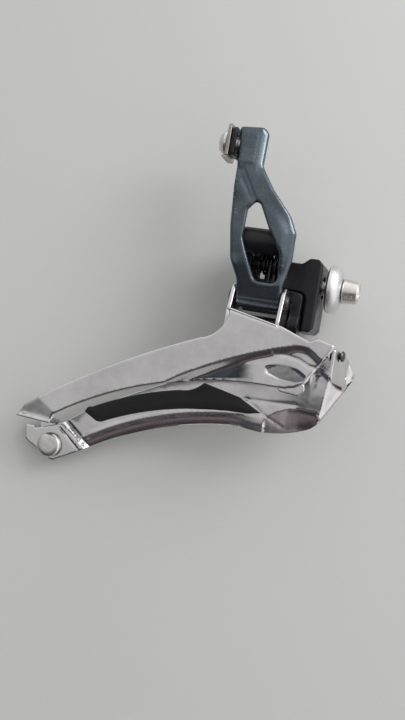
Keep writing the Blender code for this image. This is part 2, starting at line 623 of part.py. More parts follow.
def outer_plate():
    outline = path((-89.7, -56.6), (-87.5, -53.4), ((-61.5, -36.8), (-33.0, -22.9)),
                   ((-27.0, -19.2), (-24.9, -12.2)), (-9.2, -15.2), (1.0, -18.9), (3.3, -17.6), (8.8, -19.0),
                   (9.0, -19.9), (2.9, -29.6), ((0.6, -32.9), (-3.4, -34.3)), (-8.0, -34.4),
                   ((-43.0, -39.2), (-79.2, -56.4)))
    plate = sheet(outline, outer_surface)
    ear = hull(circle(PIVOT_C, 4.4, 20) + circle(PIVOT_D, EYE_R, 20)
               + [(OUTER_Y + 0.2, -14.6), (OUTER_Y + 0.2, -18.2)])
    floor = [(-25.8, -12.0), (-9.3, -15.4), (-9.3, -16.4), (-25.8, -13.0)]
    tongue = rounded([(-7.0, -33.0, 0.3), (1.6, -31.8, 1.0), (1.9, -34.0, 1.2), (0.2, -36.0, 1.2),
                      (-5.8, -35.4, 0.8)])
    plate = join(plate,
                 prism(floor, "y", OUTER_Y + 0.1, -15.0),
                 prism(ear, "x", *EARS[0]),
                 prism(ear, "x", *EARS[1]),
                 prism(tongue, "y", OUTER_Y + 1.55, OUTER_Y + 2.75),
                 along_bridge(-1.3, 1.0, OUTER_Y + 0.1, -16.4,
                              [(-27.5, -19.7), (-27.5, -23.2), (-16.0, -24.0), (-16.0, -19.7)]),
                 tail_tab())
    holes = [rod("x", -40, 0, BUSH_IN, centre, 20) for centre in (PIVOT_C, PIVOT_D)]
    holes.append(on_bridge(rod("x", -4, 4, RIVET_R + GAP, steps=16)))
    piece("outer_plate", cut(plate, *holes, rod("y", -20, 0, 2.0 + GAP, TAIL_XZ, 20)), STEEL, (0, *PIVOT_C))


def tail_tab():
    """The outer plate's tail, folded inboard and then down behind the inner plate."""
    x, z = TAIL_XZ
    back = INNER_Y + SHEET_T + GAP
    foot = hull(circle(TAIL_XZ, 3.8, 20) + [(x - 6.4, z + 8.1), (x + 1.6, z + 7.3)])
    shelf = [(OUTER_Y + 1.4, -56.9), (back + SHEET_T, z + 7.3), (back + SHEET_T, z + 8.5),
             (OUTER_Y + 1.4, -55.7)]
    return join(prism(foot, "y", back, back + SHEET_T), prism(shelf, "x", x - 6.2, x + 0.8))


def inner_surface(x, z):
    """Outboard face of the inner plate: rolled lower rim, joggled tail, flared front."""
    rim = max(0.0, 1.0 - distance((x, z), INNER_RIM) / 3.2)
    (ax, az), (bx, bz) = JOGGLE
    beyond = ((bx - ax) * (z - az) - (bz - az) * (x - ax)) / hypot(bx - ax, bz - az)
    (fx, fz), (gx, gz) = FLARE
    ahead = -((gx - fx) * (z - fz) - (gz - fz) * (x - fx)) / hypot(gx - fx, gz - fz)
    return INNER_Y + 1.7 * rim * rim - 0.9 * smooth_step(0.5 + beyond / 1.6) + 0.26 * max(0.0, ahead)



def inner_plate():
    outline = path((-87.6, -61.6), (-88.2, -60.9), (-91.3, -60.9), (-90.5, -66.0), (-81.6, -70.5),
                   ((-80.2, -71.2), (-78.8, -70.7)), (-71.8, -67.1),
                   ((-40.0, -52.6), (-18.6, -48.9)), ((-7.0, -49.2), (3.6, -45.8)), (6.0, -43.6),
                   (14.6, -28.0), (14.2, -26.4), (11.4, -21.4), (5.0, -21.0), (-22.0, -28.0),
                   ((-50.0, -41.4), (-69.6, -51.6)), (-79.0, -58.6))
    plate = sheet(outline, inner_surface)
    side = [(-27.5, -19.3), (-27.5, -29.5), (-9.0, -31.5), (-9.0, -22.4)]
    plate = join(plate, along_bridge(0, 1.1, OUTER_Y + SHEET_T + GAP, INNER_Y + 1.6, side))
    holes = [rod("y", -20, 0, 1.2 + GAP, stud, 14) for stud in PAD_STUDS]
    holes.append(rod("y", -20, 0, 2.0 + GAP, TAIL_XZ, 20))
    holes.append(on_bridge(rod("x", -4, 4, RIVET_R + GAP, steps=16)))
    piece("inner_plate", cut(plate, *holes), STEEL, (0, *PIVOT_C))


def bridge_rivet():
    """The rivet that holds the outer plate's front tab to the back of the inner plate's bridge."""
    front, back = 0.6 + GAP, -1.8 - GAP
    profile = [(back - 0.7, 0), (back - 0.7, 1.3), (back - 0.3, 1.7), (back, 1.7), (back, RIVET_R),
               (front, RIVET_R), (front, 1.7), (front + 0.3, 1.7), (front + 0.7, 1.3), (front + 0.7, 0)]
    piece("bridge_rivet", on_bridge(turned(profile, "x", steps=20)), STEEL, BRIDGE_RIVET)


def skid_pad():
    """The resin pad the chain rubs on, held by three headed studs through the inner plate."""
    outline = path((-71.0, -53.3), ((-70.6, -51.8), (-68.8, -51.1)), ((-56.4, -45.4), (-40.2, -40.6)),
                   ((-35.0, -39.2), (-32.4, -37.0)), (-20.2, -39.6), (-12.6, -43.4), (-17.0, -44.4),
                   ((-39.0, -46.6), (-65.2, -55.6)), (-66.6, -55.6))
    face = INNER_Y - GAP - 1.2
    pad = prism(outline, "y", face, INNER_Y - GAP)
    back = INNER_Y + SHEET_T + GAP
    for x, z in PAD_STUDS:
        stud = turned([(face + 0.4, 0), (face + 0.4, 1.2), (back, 1.2), (back, 2.2), (back + 0.5, 2.2),
                       (back + 0.8, 1.8), (back + 0.8, 0)], "y", (x, z), 16)
        pad = join(pad, stud)
    piece("skid_pad", pad, RESIN, (0, *PIVOT_C))


def tail_screw():
    face = INNER_Y - 0.9 - GAP
    end = INNER_Y + 2 * SHEET_T + 2 * GAP + 1.4
    profile = [(face - 1.9, 0), (face - 1.9, 3.3), (face - 1.2, 4.1), (face, 4.1), (face, 2.0),
               (end - 0.4, 2.0), (end, 1.6), (end, 0)]
    piece("tail_screw", turned(profile, "y", TAIL_XZ, 28), STEEL, (TAIL_XZ[0], 0, TAIL_XZ[1]))


# ======================================================================================
def build():
    for thing in list(bpy.data.objects):
        bpy.data.objects.remove(thing)
    bracket_body()
    limit_screw("high_limit_screw", PIVOT_B[0] - SCREW_OFFSET)
    limit_screw("low_limit_screw", PIVOT_B[0] + SCREW_OFFSET)
    limit_screw_plate()
    support_bolt()
    clamp_hardware()
    pin("outer_upper_pin", PIVOT_A, FLANGE_A[0][0] - GAP, FLANGE_A[1][1] + GAP, 2.4, 2.2)
    bush("outer_upper_bush_rear", PIVOT_A, BARREL_A[0] + 0.1, -19.6)
    bush("outer_upper_bush_front", PIVOT_A, -18.8, BARREL_A[1] - 0.1)
    pin("inner_upper_pin", PIVOT_B, CHEEK_B[0][0] - GAP, CHEEK_B[1][1] - 2.0, 2.3, PIN_R)
    bush("inner_upper_bush", PIVOT_B, LINK_BARREL[0][0] + 0.1, LINK_BARREL[0][1] - 0.1)
    piece("spring_sleeve", sleeve("x", COIL[0] - 0.1, COIL[1] + 0.1, BUSH_IN, 2.1, PIVOT_B), NYLON,
          (0, *PIVOT_B))
    return_spring()
    outer_link_arm()
    cable_hardware()
    pin("outer_lower_pin", PIVOT_C, EARS[0][0] - GAP, EARS[1][1] + GAP, 2.3, 2.3)
    bush("outer_lower_bush_rear", PIVOT_C, BARREL_C[0] + 0.1, -18.6)
    bush("outer_lower_bush_front", PIVOT_C, -16.6, BARREL_C[1] - 0.1)
    inner_link()
    pin("inner_lower_pin", PIVOT_D, LUGS_D[0][0] - GAP, LUGS_D[1][1] - 2.0, 2.5, PIN_R)
    bush("inner_lower_bush_rear", PIVOT_D, LUGS_D[0][0] + 0.1, LUGS_D[0][1] - 0.1)
    bush("inner_lower_bush_front", PIVOT_D, LUGS_D[1][0] + 0.1, LUGS_D[1][1] - 1.2)
    outer_plate()
    inner_plate()
    bridge_rivet()
    skid_pad()
    tail_screw()


build()
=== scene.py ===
"""Looks of the front derailleur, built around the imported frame.

Frame: +X forwards, +Y inboard, +Z up.  Sizes are in millimetres and the meshes are in
metres.  The part lies on a pale table, which is behind it as the camera sees it.
"""
from math import atan2, ceil, cos, hypot, pi, radians, sin, sqrt

import bmesh
import bpy
import numpy as np
from mathutils import Matrix, Vector
from mathutils.geometry import delaunay_2d_cdt


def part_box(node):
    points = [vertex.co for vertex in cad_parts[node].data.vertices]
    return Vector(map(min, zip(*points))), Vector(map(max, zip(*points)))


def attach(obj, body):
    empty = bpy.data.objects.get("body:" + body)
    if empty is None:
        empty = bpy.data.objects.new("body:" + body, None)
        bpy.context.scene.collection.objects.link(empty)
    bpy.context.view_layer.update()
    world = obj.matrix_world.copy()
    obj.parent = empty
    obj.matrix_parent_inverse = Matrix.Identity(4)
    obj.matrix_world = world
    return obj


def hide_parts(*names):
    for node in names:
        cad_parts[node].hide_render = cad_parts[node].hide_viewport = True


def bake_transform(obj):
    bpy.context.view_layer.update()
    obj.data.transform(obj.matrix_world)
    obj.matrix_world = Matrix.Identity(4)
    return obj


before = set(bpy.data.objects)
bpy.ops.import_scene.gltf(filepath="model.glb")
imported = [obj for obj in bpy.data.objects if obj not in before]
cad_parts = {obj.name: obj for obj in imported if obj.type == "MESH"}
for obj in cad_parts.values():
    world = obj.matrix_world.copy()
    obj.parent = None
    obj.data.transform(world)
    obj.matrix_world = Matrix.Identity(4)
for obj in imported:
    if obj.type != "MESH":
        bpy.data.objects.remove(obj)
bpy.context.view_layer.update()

MM = 0.001
GAP = 0.3

# ---- the linkage, as in the CAD, as (Y, Z) ----
PIVOT_A = (-20.5, 10.0)
PIVOT_B = (-10.5, 4.0)
PIVOT_C = (-19.5, -8.0)
PIVOT_D = (-9.5, -14.0)
PIN_R, BUSH_IN, BORE = 1.4, 1.7, 2.6
CABLE_YZ = (-22.0, 39.0)
SUPPORT_XZ = (-9.4, -8.8)
TAIL_XZ = (-81.4, -66.2)
SCREW_X, SCREW_YS = -21.7, (PIVOT_B[0] - 5.0, PIVOT_B[0] + 5.0)
OUTER_Y, INNER_Y, SHEET_T = -26.5, -12.0, 1.0
BLOCK_HALF, BLOCK_FRONT = 9.0, -0.9
ROOF, ROOF_END = (7.9, 13.2), -1.8
CHEEK_B = ((-26.0, -23.4), (-14.8, -12.2))
LINK_BARREL = ((-22.9, -20.5), (-16.3, -15.3))
COIL = (-20.1, -16.7)
LUGS_D = ((-28.6, -26.4), (-8.7, -5.4))
M5_R, HEX_R = 2.5, 2.35                # an M5 shank, and its hex socket out to a corner


# ---- Outlines ----
def circle(centre, radius, steps=48, start=0.0, sweep=2 * pi):
    count = steps if abs(sweep) >= 2 * pi else steps + 1
    return [(centre[0] + radius * cos(start + sweep * i / steps),
             centre[1] + radius * sin(start + sweep * i / steps)) for i in range(count)]


def arc_to(start, middle, end, steps):
    (ax, ay), (bx, by), (cx, cy) = start, middle, end
    d = 2 * (ax * (by - cy) + bx * (cy - ay) + cx * (ay - by))
    a2, b2, c2 = ax * ax + ay * ay, bx * bx + by * by, cx * cx + cy * cy
    ux = (a2 * (by - cy) + b2 * (cy - ay) + c2 * (ay - by)) / d
    uy = (a2 * (cx - bx) + b2 * (ax - cx) + c2 * (bx - ax)) / d
    first = atan2(ay - uy, ax - ux)
    turn = atan2(cy - uy, cx - ux) - first
    clockwise = (bx - ax) * (cy - ay) - (by - ay) * (cx - ax) < 0
    if clockwise and turn > 0:
        turn -= 2 * pi
    if not clockwise and turn < 0:
        turn += 2 * pi
    return circle((ux, uy), hypot(ax - ux, ay - uy), steps, first, turn)[1:]


def path(*steps):
    """A polyline.  A step is a point, or (middle, end) for an arc."""
    points = [steps[0]]
    for step in steps[1:]:
        if isinstance(step[0], tuple):
            span = hypot(step[1][0] - points[-1][0], step[1][1] - points[-1][1])
            points += arc_to(points[-1], step[0], step[1], max(6, ceil(span / 1.2)))
        else:
            points.append(step)
    return points


def rounded(corners, steps=8):
    """A closed outline whose corners (u, v, radius) are replaced by arcs."""
    outline = []
    for i, (u, v, radius) in enumerate(corners):
        here = Vector((u, v))
        before = Vector(corners[i - 1][:2]) - here
        after = Vector(corners[(i + 1) % len(corners)][:2]) - here
        half = before.angle(after) / 2
        if radius <= 0 or half > 1.5:
            outline.append((u, v))
            continue
        cut = min(radius * cos(half) / sin(half), before.length * 0.49, after.length * 0.49)
        bow = cut * sin(half) / cos(half)
        centre = here + (before.normalized() + after.normalized()).normalized() * (bow / sin(half))
        start = here + before.normalized() * cut - centre
        end = here + after.normalized() * cut - centre
        first = atan2(start.y, start.x)
        turn = (atan2(end.y, end.x) - first + pi) % (2 * pi) - pi
        outline += circle(centre, bow, steps, first, turn)
    return outline


def hull(points):
    points = sorted(set(points))

    def half(sequence):
        chain = []
        for p in sequence:
            while len(chain) > 1 and ((chain[-1][0] - chain[-2][0]) * (p[1] - chain[-2][1])
                                      - (chain[-1][1] - chain[-2][1]) * (p[0] - chain[-2][0])) <= 1e-9:
                chain.pop()
            chain.append(p)
        return chain[:-1]

    return half(points) + half(points[::-1])


def refined(loop, step):
    """The same closed outline with no edge longer than step."""
    points = []
    for (ax, ay), (bx, by) in zip(loop, loop[1:] + loop[:1]):
        count = max(1, ceil(hypot(bx - ax, by - ay) / step))
        points += [(ax + (bx - ax) * i / count, ay + (by - ay) * i / count) for i in range(count)]
    return points


def closed(loop):
    return list(loop) + [loop[0]]


def distance(points, line):
    """Distance from each point to an open polyline."""
    p = np.asarray(points, float).reshape(-1, 1, 2)
    line = np.asarray(line, float)
    a, d = line[:-1], np.diff(line, axis=0)
    t = np.clip(((p - a) * d).sum(2) / ((d * d).sum(1) + 1e-12), 0, 1)
    return np.sqrt(((p - a - t[..., None] * d) ** 2).sum(2)).min(1)


def inside(points, outline):
    p = np.asarray(points, float).reshape(-1, 2)
    a = np.asarray(outline, float)
    b = np.roll(a, -1, axis=0)
    x, y = p[:, :1], p[:, 1:]
    rise = np.where(b[:, 1] == a[:, 1], 1.0, b[:, 1] - a[:, 1])
    crosses = ((a[:, 1] > y) != (b[:, 1] > y)) & (x < a[:, 0] + (y - a[:, 1]) / rise * (b[:, 0] - a[:, 0]))
    return crosses.sum(1) % 2 == 1


def smooth(t):
    t = np.clip(t, 0.0, 1.0)
    return t * t * (3 - 2 * t)


def side_of(points, line):
    """Signed distance to the left of a line through two points."""
    (ax, ay), (bx, by) = line
    p = np.asarray(points, float)
    return ((bx - ax) * (p[:, 1] - ay) - (by - ay) * (p[:, 0] - ax)) / hypot(bx - ax, by - ay)


def curve_value(stations, t):
    """A smooth curve (Catmull-Rom) through (t, value) stations, for an array of t."""
    s = np.array(stations, float)
    slope = np.gradient(s[:, 1], s[:, 0])
    t = np.clip(t, s[0, 0], s[-1, 0])
    i = np.clip(np.searchsorted(s[:, 0], t, "right") - 1, 0, len(s) - 2)
    span = s[i + 1, 0] - s[i, 0]
    k = (t - s[i, 0]) / span
    return ((2 * k ** 3 - 3 * k * k + 1) * s[i, 1] + (k ** 3 - 2 * k * k + k) * slope[i] * span
            + (3 * k * k - 2 * k ** 3) * s[i + 1, 1] + (k ** 3 - k * k) * slope[i + 1] * span)


# ---- Meshes ----
def spot(axis, along, u, v):
    return {"x": (along, u, v), "y": (u, along, v), "z": (u, v, along)}[axis]


def placed(name, data):
    """A new object with this data, linked to the scene."""
    thing = bpy.data.objects.new(name, data)
    bpy.context.scene.collection.objects.link(thing)
    return thing


def object_of(name, bm):
    """An object from a bmesh, in the bmesh's own unit; the bmesh is freed."""
    mesh = bpy.data.meshes.new(name)
    bm.to_mesh(mesh)
    bm.free()
    return placed(name, mesh)


def outward(bm):
    """The bmesh with its faces turned to point out."""
    bmesh.ops.recalc_face_normals(bm, faces=bm.faces)
    return bm


def new_object(name, verts, faces):
    """An object from points in millimetres."""
    mesh = bpy.data.meshes.new(name)
    points = [tuple(MM * float(c) for c in v) for v in verts]
    mesh.from_pydata(points, [], [tuple(int(k) for k in f) for f in faces])
    mesh.validate()
    thing = placed(name, mesh)
    bm = bmesh.new()
    bm.from_mesh(mesh)
    outward(bm).to_mesh(mesh)
    bm.free()
    return thing


def sheet(name, outline, surface, thickness=SHEET_T, holes=(), grid=0.8, edge=0.28, near_edge=None,
          place=lambda u, v, w: (u, w, v), lines=()):
    """A plate with rounded edges.

    surface gives its near face from an array of (u, v) points.  grid is the spacing of its
    points, edge and near_edge are the radii of its far and near edges, and lines are
    polylines along which the mesh gets points of its own.
    """
    near_edge = near_edge or edge
    loops = [refined(list(loop), grid) for loop in (outline, *holes)]
    points, edges = [], []
    for loop in loops:
        first = len(points)
        points += loop
        edges += [(first + i, first + (i + 1) % len(loop)) for i in range(len(loop))]
    widest = max(edge, near_edge)

    def on_plate(at):
        keep = inside(at, loops[0])
        for hole in loops[1:]:
            keep &= ~inside(at, hole)
        return keep

    def from_edges(at):
        return np.min([distance(at, closed(loop)) for loop in loops], axis=0)

    for loop in loops:
        p = np.array(loop)
        along = np.roll(p, -1, axis=0) - np.roll(p, 1, axis=0)
        length = np.linalg.norm(along, axis=1, keepdims=True) + 1e-9
        normal = np.stack([-along[:, 1], along[:, 0]], 1) / length
        for share in (0.12, 0.4, 1.0):
            for side in (-1, 1):
                row = p + side * share * widest * normal
                keep = on_plate(row) & (from_edges(row) > share * widest * 0.93)
                points += [tuple(q) for q in row[keep]]
    for line in lines:
        dense = []
        for a, b in zip(line, line[1:]):
            count = max(2, ceil(hypot(b[0] - a[0], b[1] - a[1]) / (grid * 0.7)))
            dense += [((1 - k) * a[0] + k * b[0], (1 - k) * a[1] + k * b[1])
                      for k in np.linspace(0, 1, count)]
        keep = inside(dense, loops[0]) & (distance(dense, closed(loops[0])) > widest * 1.2)
        points += [p for p, k in zip(dense, keep) if k]
    lows, highs = np.min(loops[0], axis=0), np.max(loops[0], axis=0)
    columns = np.arange(lows[0], highs[0] + grid, grid)
    rows = np.arange(lows[1], highs[1] + grid, grid * 0.87)
    spread = np.array([(c + 0.5 * grid * (j % 2), r) for j, r in enumerate(rows) for c in columns])
    spread = spread[on_plate(spread)]
    clear = from_edges(spread) > widest + 0.3 * grid
    for line in lines:
        clear &= distance(spread, line) > 0.45 * grid
    points += [tuple(p) for p in spread[clear]]
    flat, _, triangles = delaunay_2d_cdt([Vector(p) for p in points], edges, [], 1, 1e-5)[:3]
    flat = np.array([tuple(p) for p in flat])
    centres = np.array([flat[list(t)].mean(axis=0) for t in triangles])
    triangles = [t for t, keep in zip(triangles, on_plate(centres)) if keep]
    rim = from_edges(flat)

    def drop(radius):
        inner = np.clip(radius - rim, 0, radius)
        return radius - np.sqrt(np.maximum(radius ** 2 - inner ** 2, 0))

    low = surface(flat)
    near, far = low + drop(near_edge), low + thickness - drop(edge)
    count = len(flat)
    verts = list(zip(*place(flat[:, 0], flat[:, 1], near))) + list(zip(*place(flat[:, 0], flat[:, 1], far)))
    faces = [tuple(t) for t in triangles] + [tuple(k + count for k in reversed(t)) for t in triangles]
    used = {(a, b) for t in triangles for a, b in zip(t, list(t[1:]) + [t[0]])}
    faces += [(b, a, a + count, b + count) for a, b in used if (b, a) not in used]
    return new_object(name, verts, faces)


def across(u, v, w):
    """Places a sheet that faces along X."""
    return w, u, v


def flat_at(offset):
    """The surface of a flat sheet."""
    return lambda p: np.full(len(p), offset)


def prism(outline, axis, low, high):
    bm = bmesh.new()
    ends = [[bm.verts.new(spot(axis, at, u, v)) for u, v in outline] for at in (low, high)]
    bm.faces.new(ends[0])
    bm.faces.new(ends[1])
    for i in range(len(outline)):
        j = (i + 1) % len(outline)
        bm.faces.new((ends[0][i], ends[0][j], ends[1][j], ends[1][i]))
    return outward(bm)


def box(low, high):
    outline = [(low[1], low[2]), (high[1], low[2]), (high[1], high[2]), (low[1], high[2])]
    return prism(outline, "x", low[0], high[0])


def turned(profile, axis, centre=(0.0, 0.0), steps=72):
    """A closed profile of (along, radius) points, turned around an axis."""
    bm = bmesh.new()
    rings = [[bm.verts.new(spot(axis, along, *p)) for p in ([centre] if radius <= 0 else circle(centre,
            radius, steps))] for along, radius in profile]
    for one, two in zip(rings, rings[1:] + rings[:1]):
        for i in range(steps):
            j = (i + 1) % steps
            if len(one) == 1 and len(two) == 1:
                break
            if len(one) == 1:
                bm.faces.new((one[0], two[i], two[j]))
            elif len(two) == 1:
                bm.faces.new((one[i], two[0], one[j]))
            else:
                bm.faces.new((one[i], two[i], two[j], one[j]))
    return outward(bm)


def softened(profile, radius=0.18, steps=4):
    """A turned profile whose corners off the axis are rounded."""
    corners = [(a, r, 0.0 if r <= 0 else radius) for a, r in profile]
    return rounded(corners, steps)


def rod(axis, low, high, radius, centre=(0.0, 0.0), steps=48, chamfer=0.0):
    c = chamfer
    profile = [(low, 0), (low, radius - c), (low + c, radius), (high - c, radius), (high, radius - c),
               (high, 0)]
    return turned(profile if c else [(low, 0), (low, radius), (high, radius), (high, 0)], axis, centre,
                  steps)


def boolean(operation, base, *tools):
    for tool in tools:
        target, other = object_of("temporary", base), object_of("temporary", tool)
        modifier = target.modifiers.new("boolean", "BOOLEAN")
        modifier.operation = operation
        modifier.solver = "EXACT"
        modifier.object = other
        base = bmesh.new()
        base.from_object(target, bpy.context.evaluated_depsgraph_get())
        for thing in (target, other):
            bpy.data.objects.remove(thing)
    return base


def from_bmesh(name, bm):
    """An object from a bmesh in millimetres."""
    bmesh.ops.scale(bm, verts=bm.verts, vec=(MM, MM, MM))
    return object_of(name, bm)


def to_bmesh(thing):
    """A mesh object back as a bmesh in millimetres; the object is removed."""
    bm = bmesh.new()
    bm.from_mesh(thing.data)
    bmesh.ops.scale(bm, verts=bm.verts, vec=(1 / MM,) * 3)
    bpy.data.objects.remove(thing)
    return bm


def apply_modifiers(thing):
    mesh = bpy.data.meshes.new_from_object(thing.evaluated_get(bpy.context.evaluated_depsgraph_get()))
    thing.modifiers.clear()
    thing.data = mesh
    return thing


def cast(name, bm, voxel=0.28, passes=5):
    """A body with softly rounded edges, as a casting or forging has."""
    thing = from_bmesh(name, bm)
    remesh = thing.modifiers.new("remesh", "REMESH")
    remesh.mode = "VOXEL"
    remesh.voxel_size = voxel * MM * 1.0
    remesh.use_smooth_shade = True
    ease = thing.modifiers.new("smooth", "SMOOTH")
    ease.factor = 0.5
    ease.iterations = passes
    return apply_modifiers(thing)


def finish_piece(thing, body, material, nodes=(), angle=40):
    """Material and shading of a piece, and the body, slot and CAD nodes that it stands for."""
    thing.data.materials.clear()
    thing.data.materials.append(material)
    if thing.type == "MESH":
        thing.data.shade_smooth()
        thing.data.set_sharp_from_angle(angle=radians(angle))
    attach(thing, body)
    if nodes:
        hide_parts(*nodes)
    return thing


def merged(name, *things):
    """One object from several that lie in the same place."""
    bm = bmesh.new()
    for thing in things:
        bm.from_mesh(thing.data)
        bpy.data.objects.remove(thing)
    return object_of(name, bm)


def press(points, outline, depth, width):
    """Depth of a pressed feature: full inside an outline, fading to none at its border."""
    outline = list(outline)
    within = inside(points, outline)
    far = distance(points, closed(outline))
    return depth * smooth(np.where(within, far / width, 0.0))


def beside(line, gap):
    """A polyline offset to its left."""
    p = np.array(line, float)
    along = np.gradient(p, axis=0)
    normal = np.stack([-along[:, 1], along[:, 0]], 1) / np.linalg.norm(along, axis=1, keepdims=True)
    return [tuple(q) for q in p + gap * normal]


def ridge(points, line, height, width):
    return height * np.exp(-(distance(points, line) / width) ** 2)


def rolled(points, line, radius):
    """Depth of an edge rolled back through a quarter circle."""
    bend = radius - np.clip(distance(points, line), 0, radius)
    return radius - np.sqrt(radius ** 2 - bend ** 2)


def threaded(low, high, radius, pitch=0.8, depth=0.36):
    """Profile points of a thread's crests and roots, from low to high."""
    profile = []
    step = pitch if high > low else -pitch
    for i in range(int(abs(high - low) / pitch)):
        at = low + step * i
        profile += [(at, radius - depth), (at + 0.36 * step, radius), (at + 0.60 * step, radius)]
    return profile + [(high, radius - depth)]


# ---- Finishes ----
MIX_FACTOR, MIX_A, MIX_B, MIX_RESULT = 0, 6, 7, 2     # colour sockets of the Mix node


def feed(tree, socket, value):
    """Links an output to a socket, or sets the socket's own value."""
    if hasattr(value, "links"):
        tree.links.new(value, socket)
    else:
        socket.default_value = value


def wire_up(tree, kind, **settings):
    """A new node; a setting is one of its inputs, or else one of its properties."""
    node = tree.nodes.new(kind)
    for key, value in settings.items():
        if key in node.inputs:
            feed(tree, node.inputs[key], value)
        else:
            setattr(node, key, value)
    return node


def noise(tree, where, scale, detail=3.0, roughness=0.55, stretch=None):
    """Noise in object coordinates; scale is the number of cells per millimetre."""
    if stretch:
        where = wire_up(tree, "ShaderNodeMapping", Vector=where, Scale=stretch).outputs[0]
    made = wire_up(tree, "ShaderNodeTexNoise", Vector=where, Scale=scale / MM, Detail=detail,
                   Roughness=roughness)
    return made.outputs["Fac"] if "Fac" in made.outputs else made.outputs[0]


def ramped(tree, value, low, high, to_low, to_high, shape="LINEAR"):
    """The value carried from low..high to to_low..to_high, and held there past the ends."""
    ends = {"From Min": low, "From Max": high, "To Min": to_low, "To Max": to_high}
    return wire_up(tree, "ShaderNodeMapRange", Value=value, interpolation_type=shape, **ends).outputs[0]


def blended(tree, share, one, two, kind="MIX"):
    """Two colours, each a tuple or an output, mixed by share."""
    node = tree.nodes.new("ShaderNodeMix")
    node.data_type = "RGBA"
    node.blend_type = kind
    for number, value in ((MIX_FACTOR, share), (MIX_A, one), (MIX_B, two)):
        feed(tree, node.inputs[number], (*value, 1.0) if isinstance(value, tuple) else value)
    return node.outputs[MIX_RESULT]


def maths(tree, one, two, operation="ADD"):
    node = wire_up(tree, "ShaderNodeMath", operation=operation)
    for socket, value in zip(node.inputs, (one, two)):
        feed(tree, socket, value)
    return node.outputs[0]


def new_material(name):
    """A material, its tree, its shader and its object coordinates."""
    material = bpy.data.materials.new(name)
    material.use_nodes = True
    tree = material.node_tree
    where = tree.nodes.new("ShaderNodeTexCoord").outputs["Object"]
    return material, tree, tree.nodes["Principled BSDF"], where


COAT_ROUGH, FLAKES_PER_MM, WAVES_PER_MM = 0.18, 5.5, 0.16


def look(name, colour, metallic, rough, tint=None, patches=0.12, brush=None, grain=4.0, relief=0.00001,
         flakes=None, edge_wear_and_highlight=None, coat=0.0, specular=0.5, ripple=0.0):
    """A finish.

    rough is (smooth, rough) across its smudges, and brush stretches its scratches along an axis.
    patches and grain are cells per millimetre; relief and ripple are heights in metres.
    """
    material, tree, shader, where = new_material(name)
    smudge = noise(tree, where, patches, 4.0, 0.6)
    fine = noise(tree, where, grain, 2.0)
    shade = blended(tree, ramped(tree, smudge, 0.35, 0.65, 0.0, 1.0), colour,
                    tint or tuple(0.86 * c for c in colour))
    roughness = ramped(tree, smudge, 0.33, 0.67, *rough)
    height = fine
    if brush:
        strokes = noise(tree, where, grain * 0.6, 3.0, 0.6, brush)
        roughness = maths(tree, roughness, ramped(tree, strokes, 0.3, 0.7, -0.04, 0.06))
        height = maths(tree, fine, strokes)
    if flakes:
        cells = wire_up(tree, "ShaderNodeTexVoronoi", Vector=where,
                        Scale=FLAKES_PER_MM / MM).outputs["Color"]
        sparkle = wire_up(tree, "ShaderNodeSeparateColor", Color=cells)
        shade = blended(tree, ramped(tree, sparkle.outputs[0], 0.55, 1.0, 0.0, 1.0), shade, flakes)
    # edges are lightened where pointiness is high: partly paint worn off, partly a painted highlight along
    # the edges
    if edge_wear_and_highlight:
        edges = tree.nodes.new("ShaderNodeNewGeometry").outputs["Pointiness"]
        rubbed_and_highlit = maths(tree, ramped(tree, edges, 0.54, 0.62, 0.0, 1.0),
                       ramped(tree, smudge, 0.45, 0.6, 0.1, 0.9), "MULTIPLY")
        shade = blended(tree, rubbed_and_highlit, shade, edge_wear_and_highlight)
    inputs = {"Base Color": shade, "Roughness": roughness, "Metallic": metallic, "Coat Weight": coat,
              "Coat Roughness": COAT_ROUGH, "Specular IOR Level": specular}
    for key, value in inputs.items():
        feed(tree, shader.inputs[key], value)
    bump = wire_up(tree, "ShaderNodeBump", Height=height, Strength=0.35, Distance=relief)
    if ripple:
        waves = wire_up(tree, "ShaderNodeBump", Height=noise(tree, where, WAVES_PER_MM, 2.0), Strength=1.0,
                        Distance=ripple)
        tree.links.new(waves.outputs[0], bump.inputs["Normal"])
    tree.links.new(bump.outputs[0], shader.inputs["Normal"])
    return material


plate_steel = look("plate_steel", (0.665, 0.655, 0.660), 1.0, (0.09, 0.20), (0.575, 0.565, 0.57), 0.09,
                   (0.25, 1.0, 1.0), 1.6, 0.000002, ripple=0.00010)
pin_steel = look("pin_steel", (0.12, 0.118, 0.115), 1.0, (0.26, 0.38), (0.08, 0.078, 0.076), 0.3,
                 (1.0, 0.2, 1.0))
bolt_steel = look("bolt_steel", (0.76, 0.73, 0.71), 1.0, (0.20, 0.34), (0.62, 0.59, 0.57), 0.35,
                  (3.0, 0.4, 0.4), 2.5)
dull_steel = look("dull_steel", (0.40, 0.375, 0.355), 1.0, (0.22, 0.36), (0.28, 0.26, 0.245), 0.4,
                  (0.6, 3.0, 0.6), 2.5)
screw_steel = look("screw_steel", (0.70, 0.69, 0.68), 1.0, (0.20, 0.32), (0.60, 0.59, 0.58), 0.3,
                   (0.5, 3.0, 0.5), 2.5)
wire_steel = look("wire_steel", (0.034, 0.034, 0.037), 1.0, (0.34, 0.46), (0.022, 0.022, 0.024), 0.4,
                  (1.0, 1.0, 0.2))
alloy = look("alloy", (0.72, 0.72, 0.73), 1.0, (0.28, 0.38), (0.64, 0.64, 0.65), 0.25, (3.0, 0.5, 0.5), 2.0)
# black_paint and slate_paint get lighter edges: partly wear, partly a painted edge highlight
black_paint = look("black_paint", (0.006, 0.0065, 0.009), 0.0, (0.26, 0.38), (0.010, 0.010, 0.013), 0.15,
                   grain=2.2, relief=0.00001, edge_wear_and_highlight=(0.10, 0.10, 0.10), specular=0.32)
slate_paint = look("slate_paint", (0.092, 0.117, 0.136), 0.85, (0.20, 0.30), (0.062, 0.080, 0.096), 0.14,
                   grain=2.0, relief=0.000006, flakes=(0.122, 0.148, 0.166), edge_wear_and_highlight=(0.34, 0.36, 0.37),
                   coat=0.12)
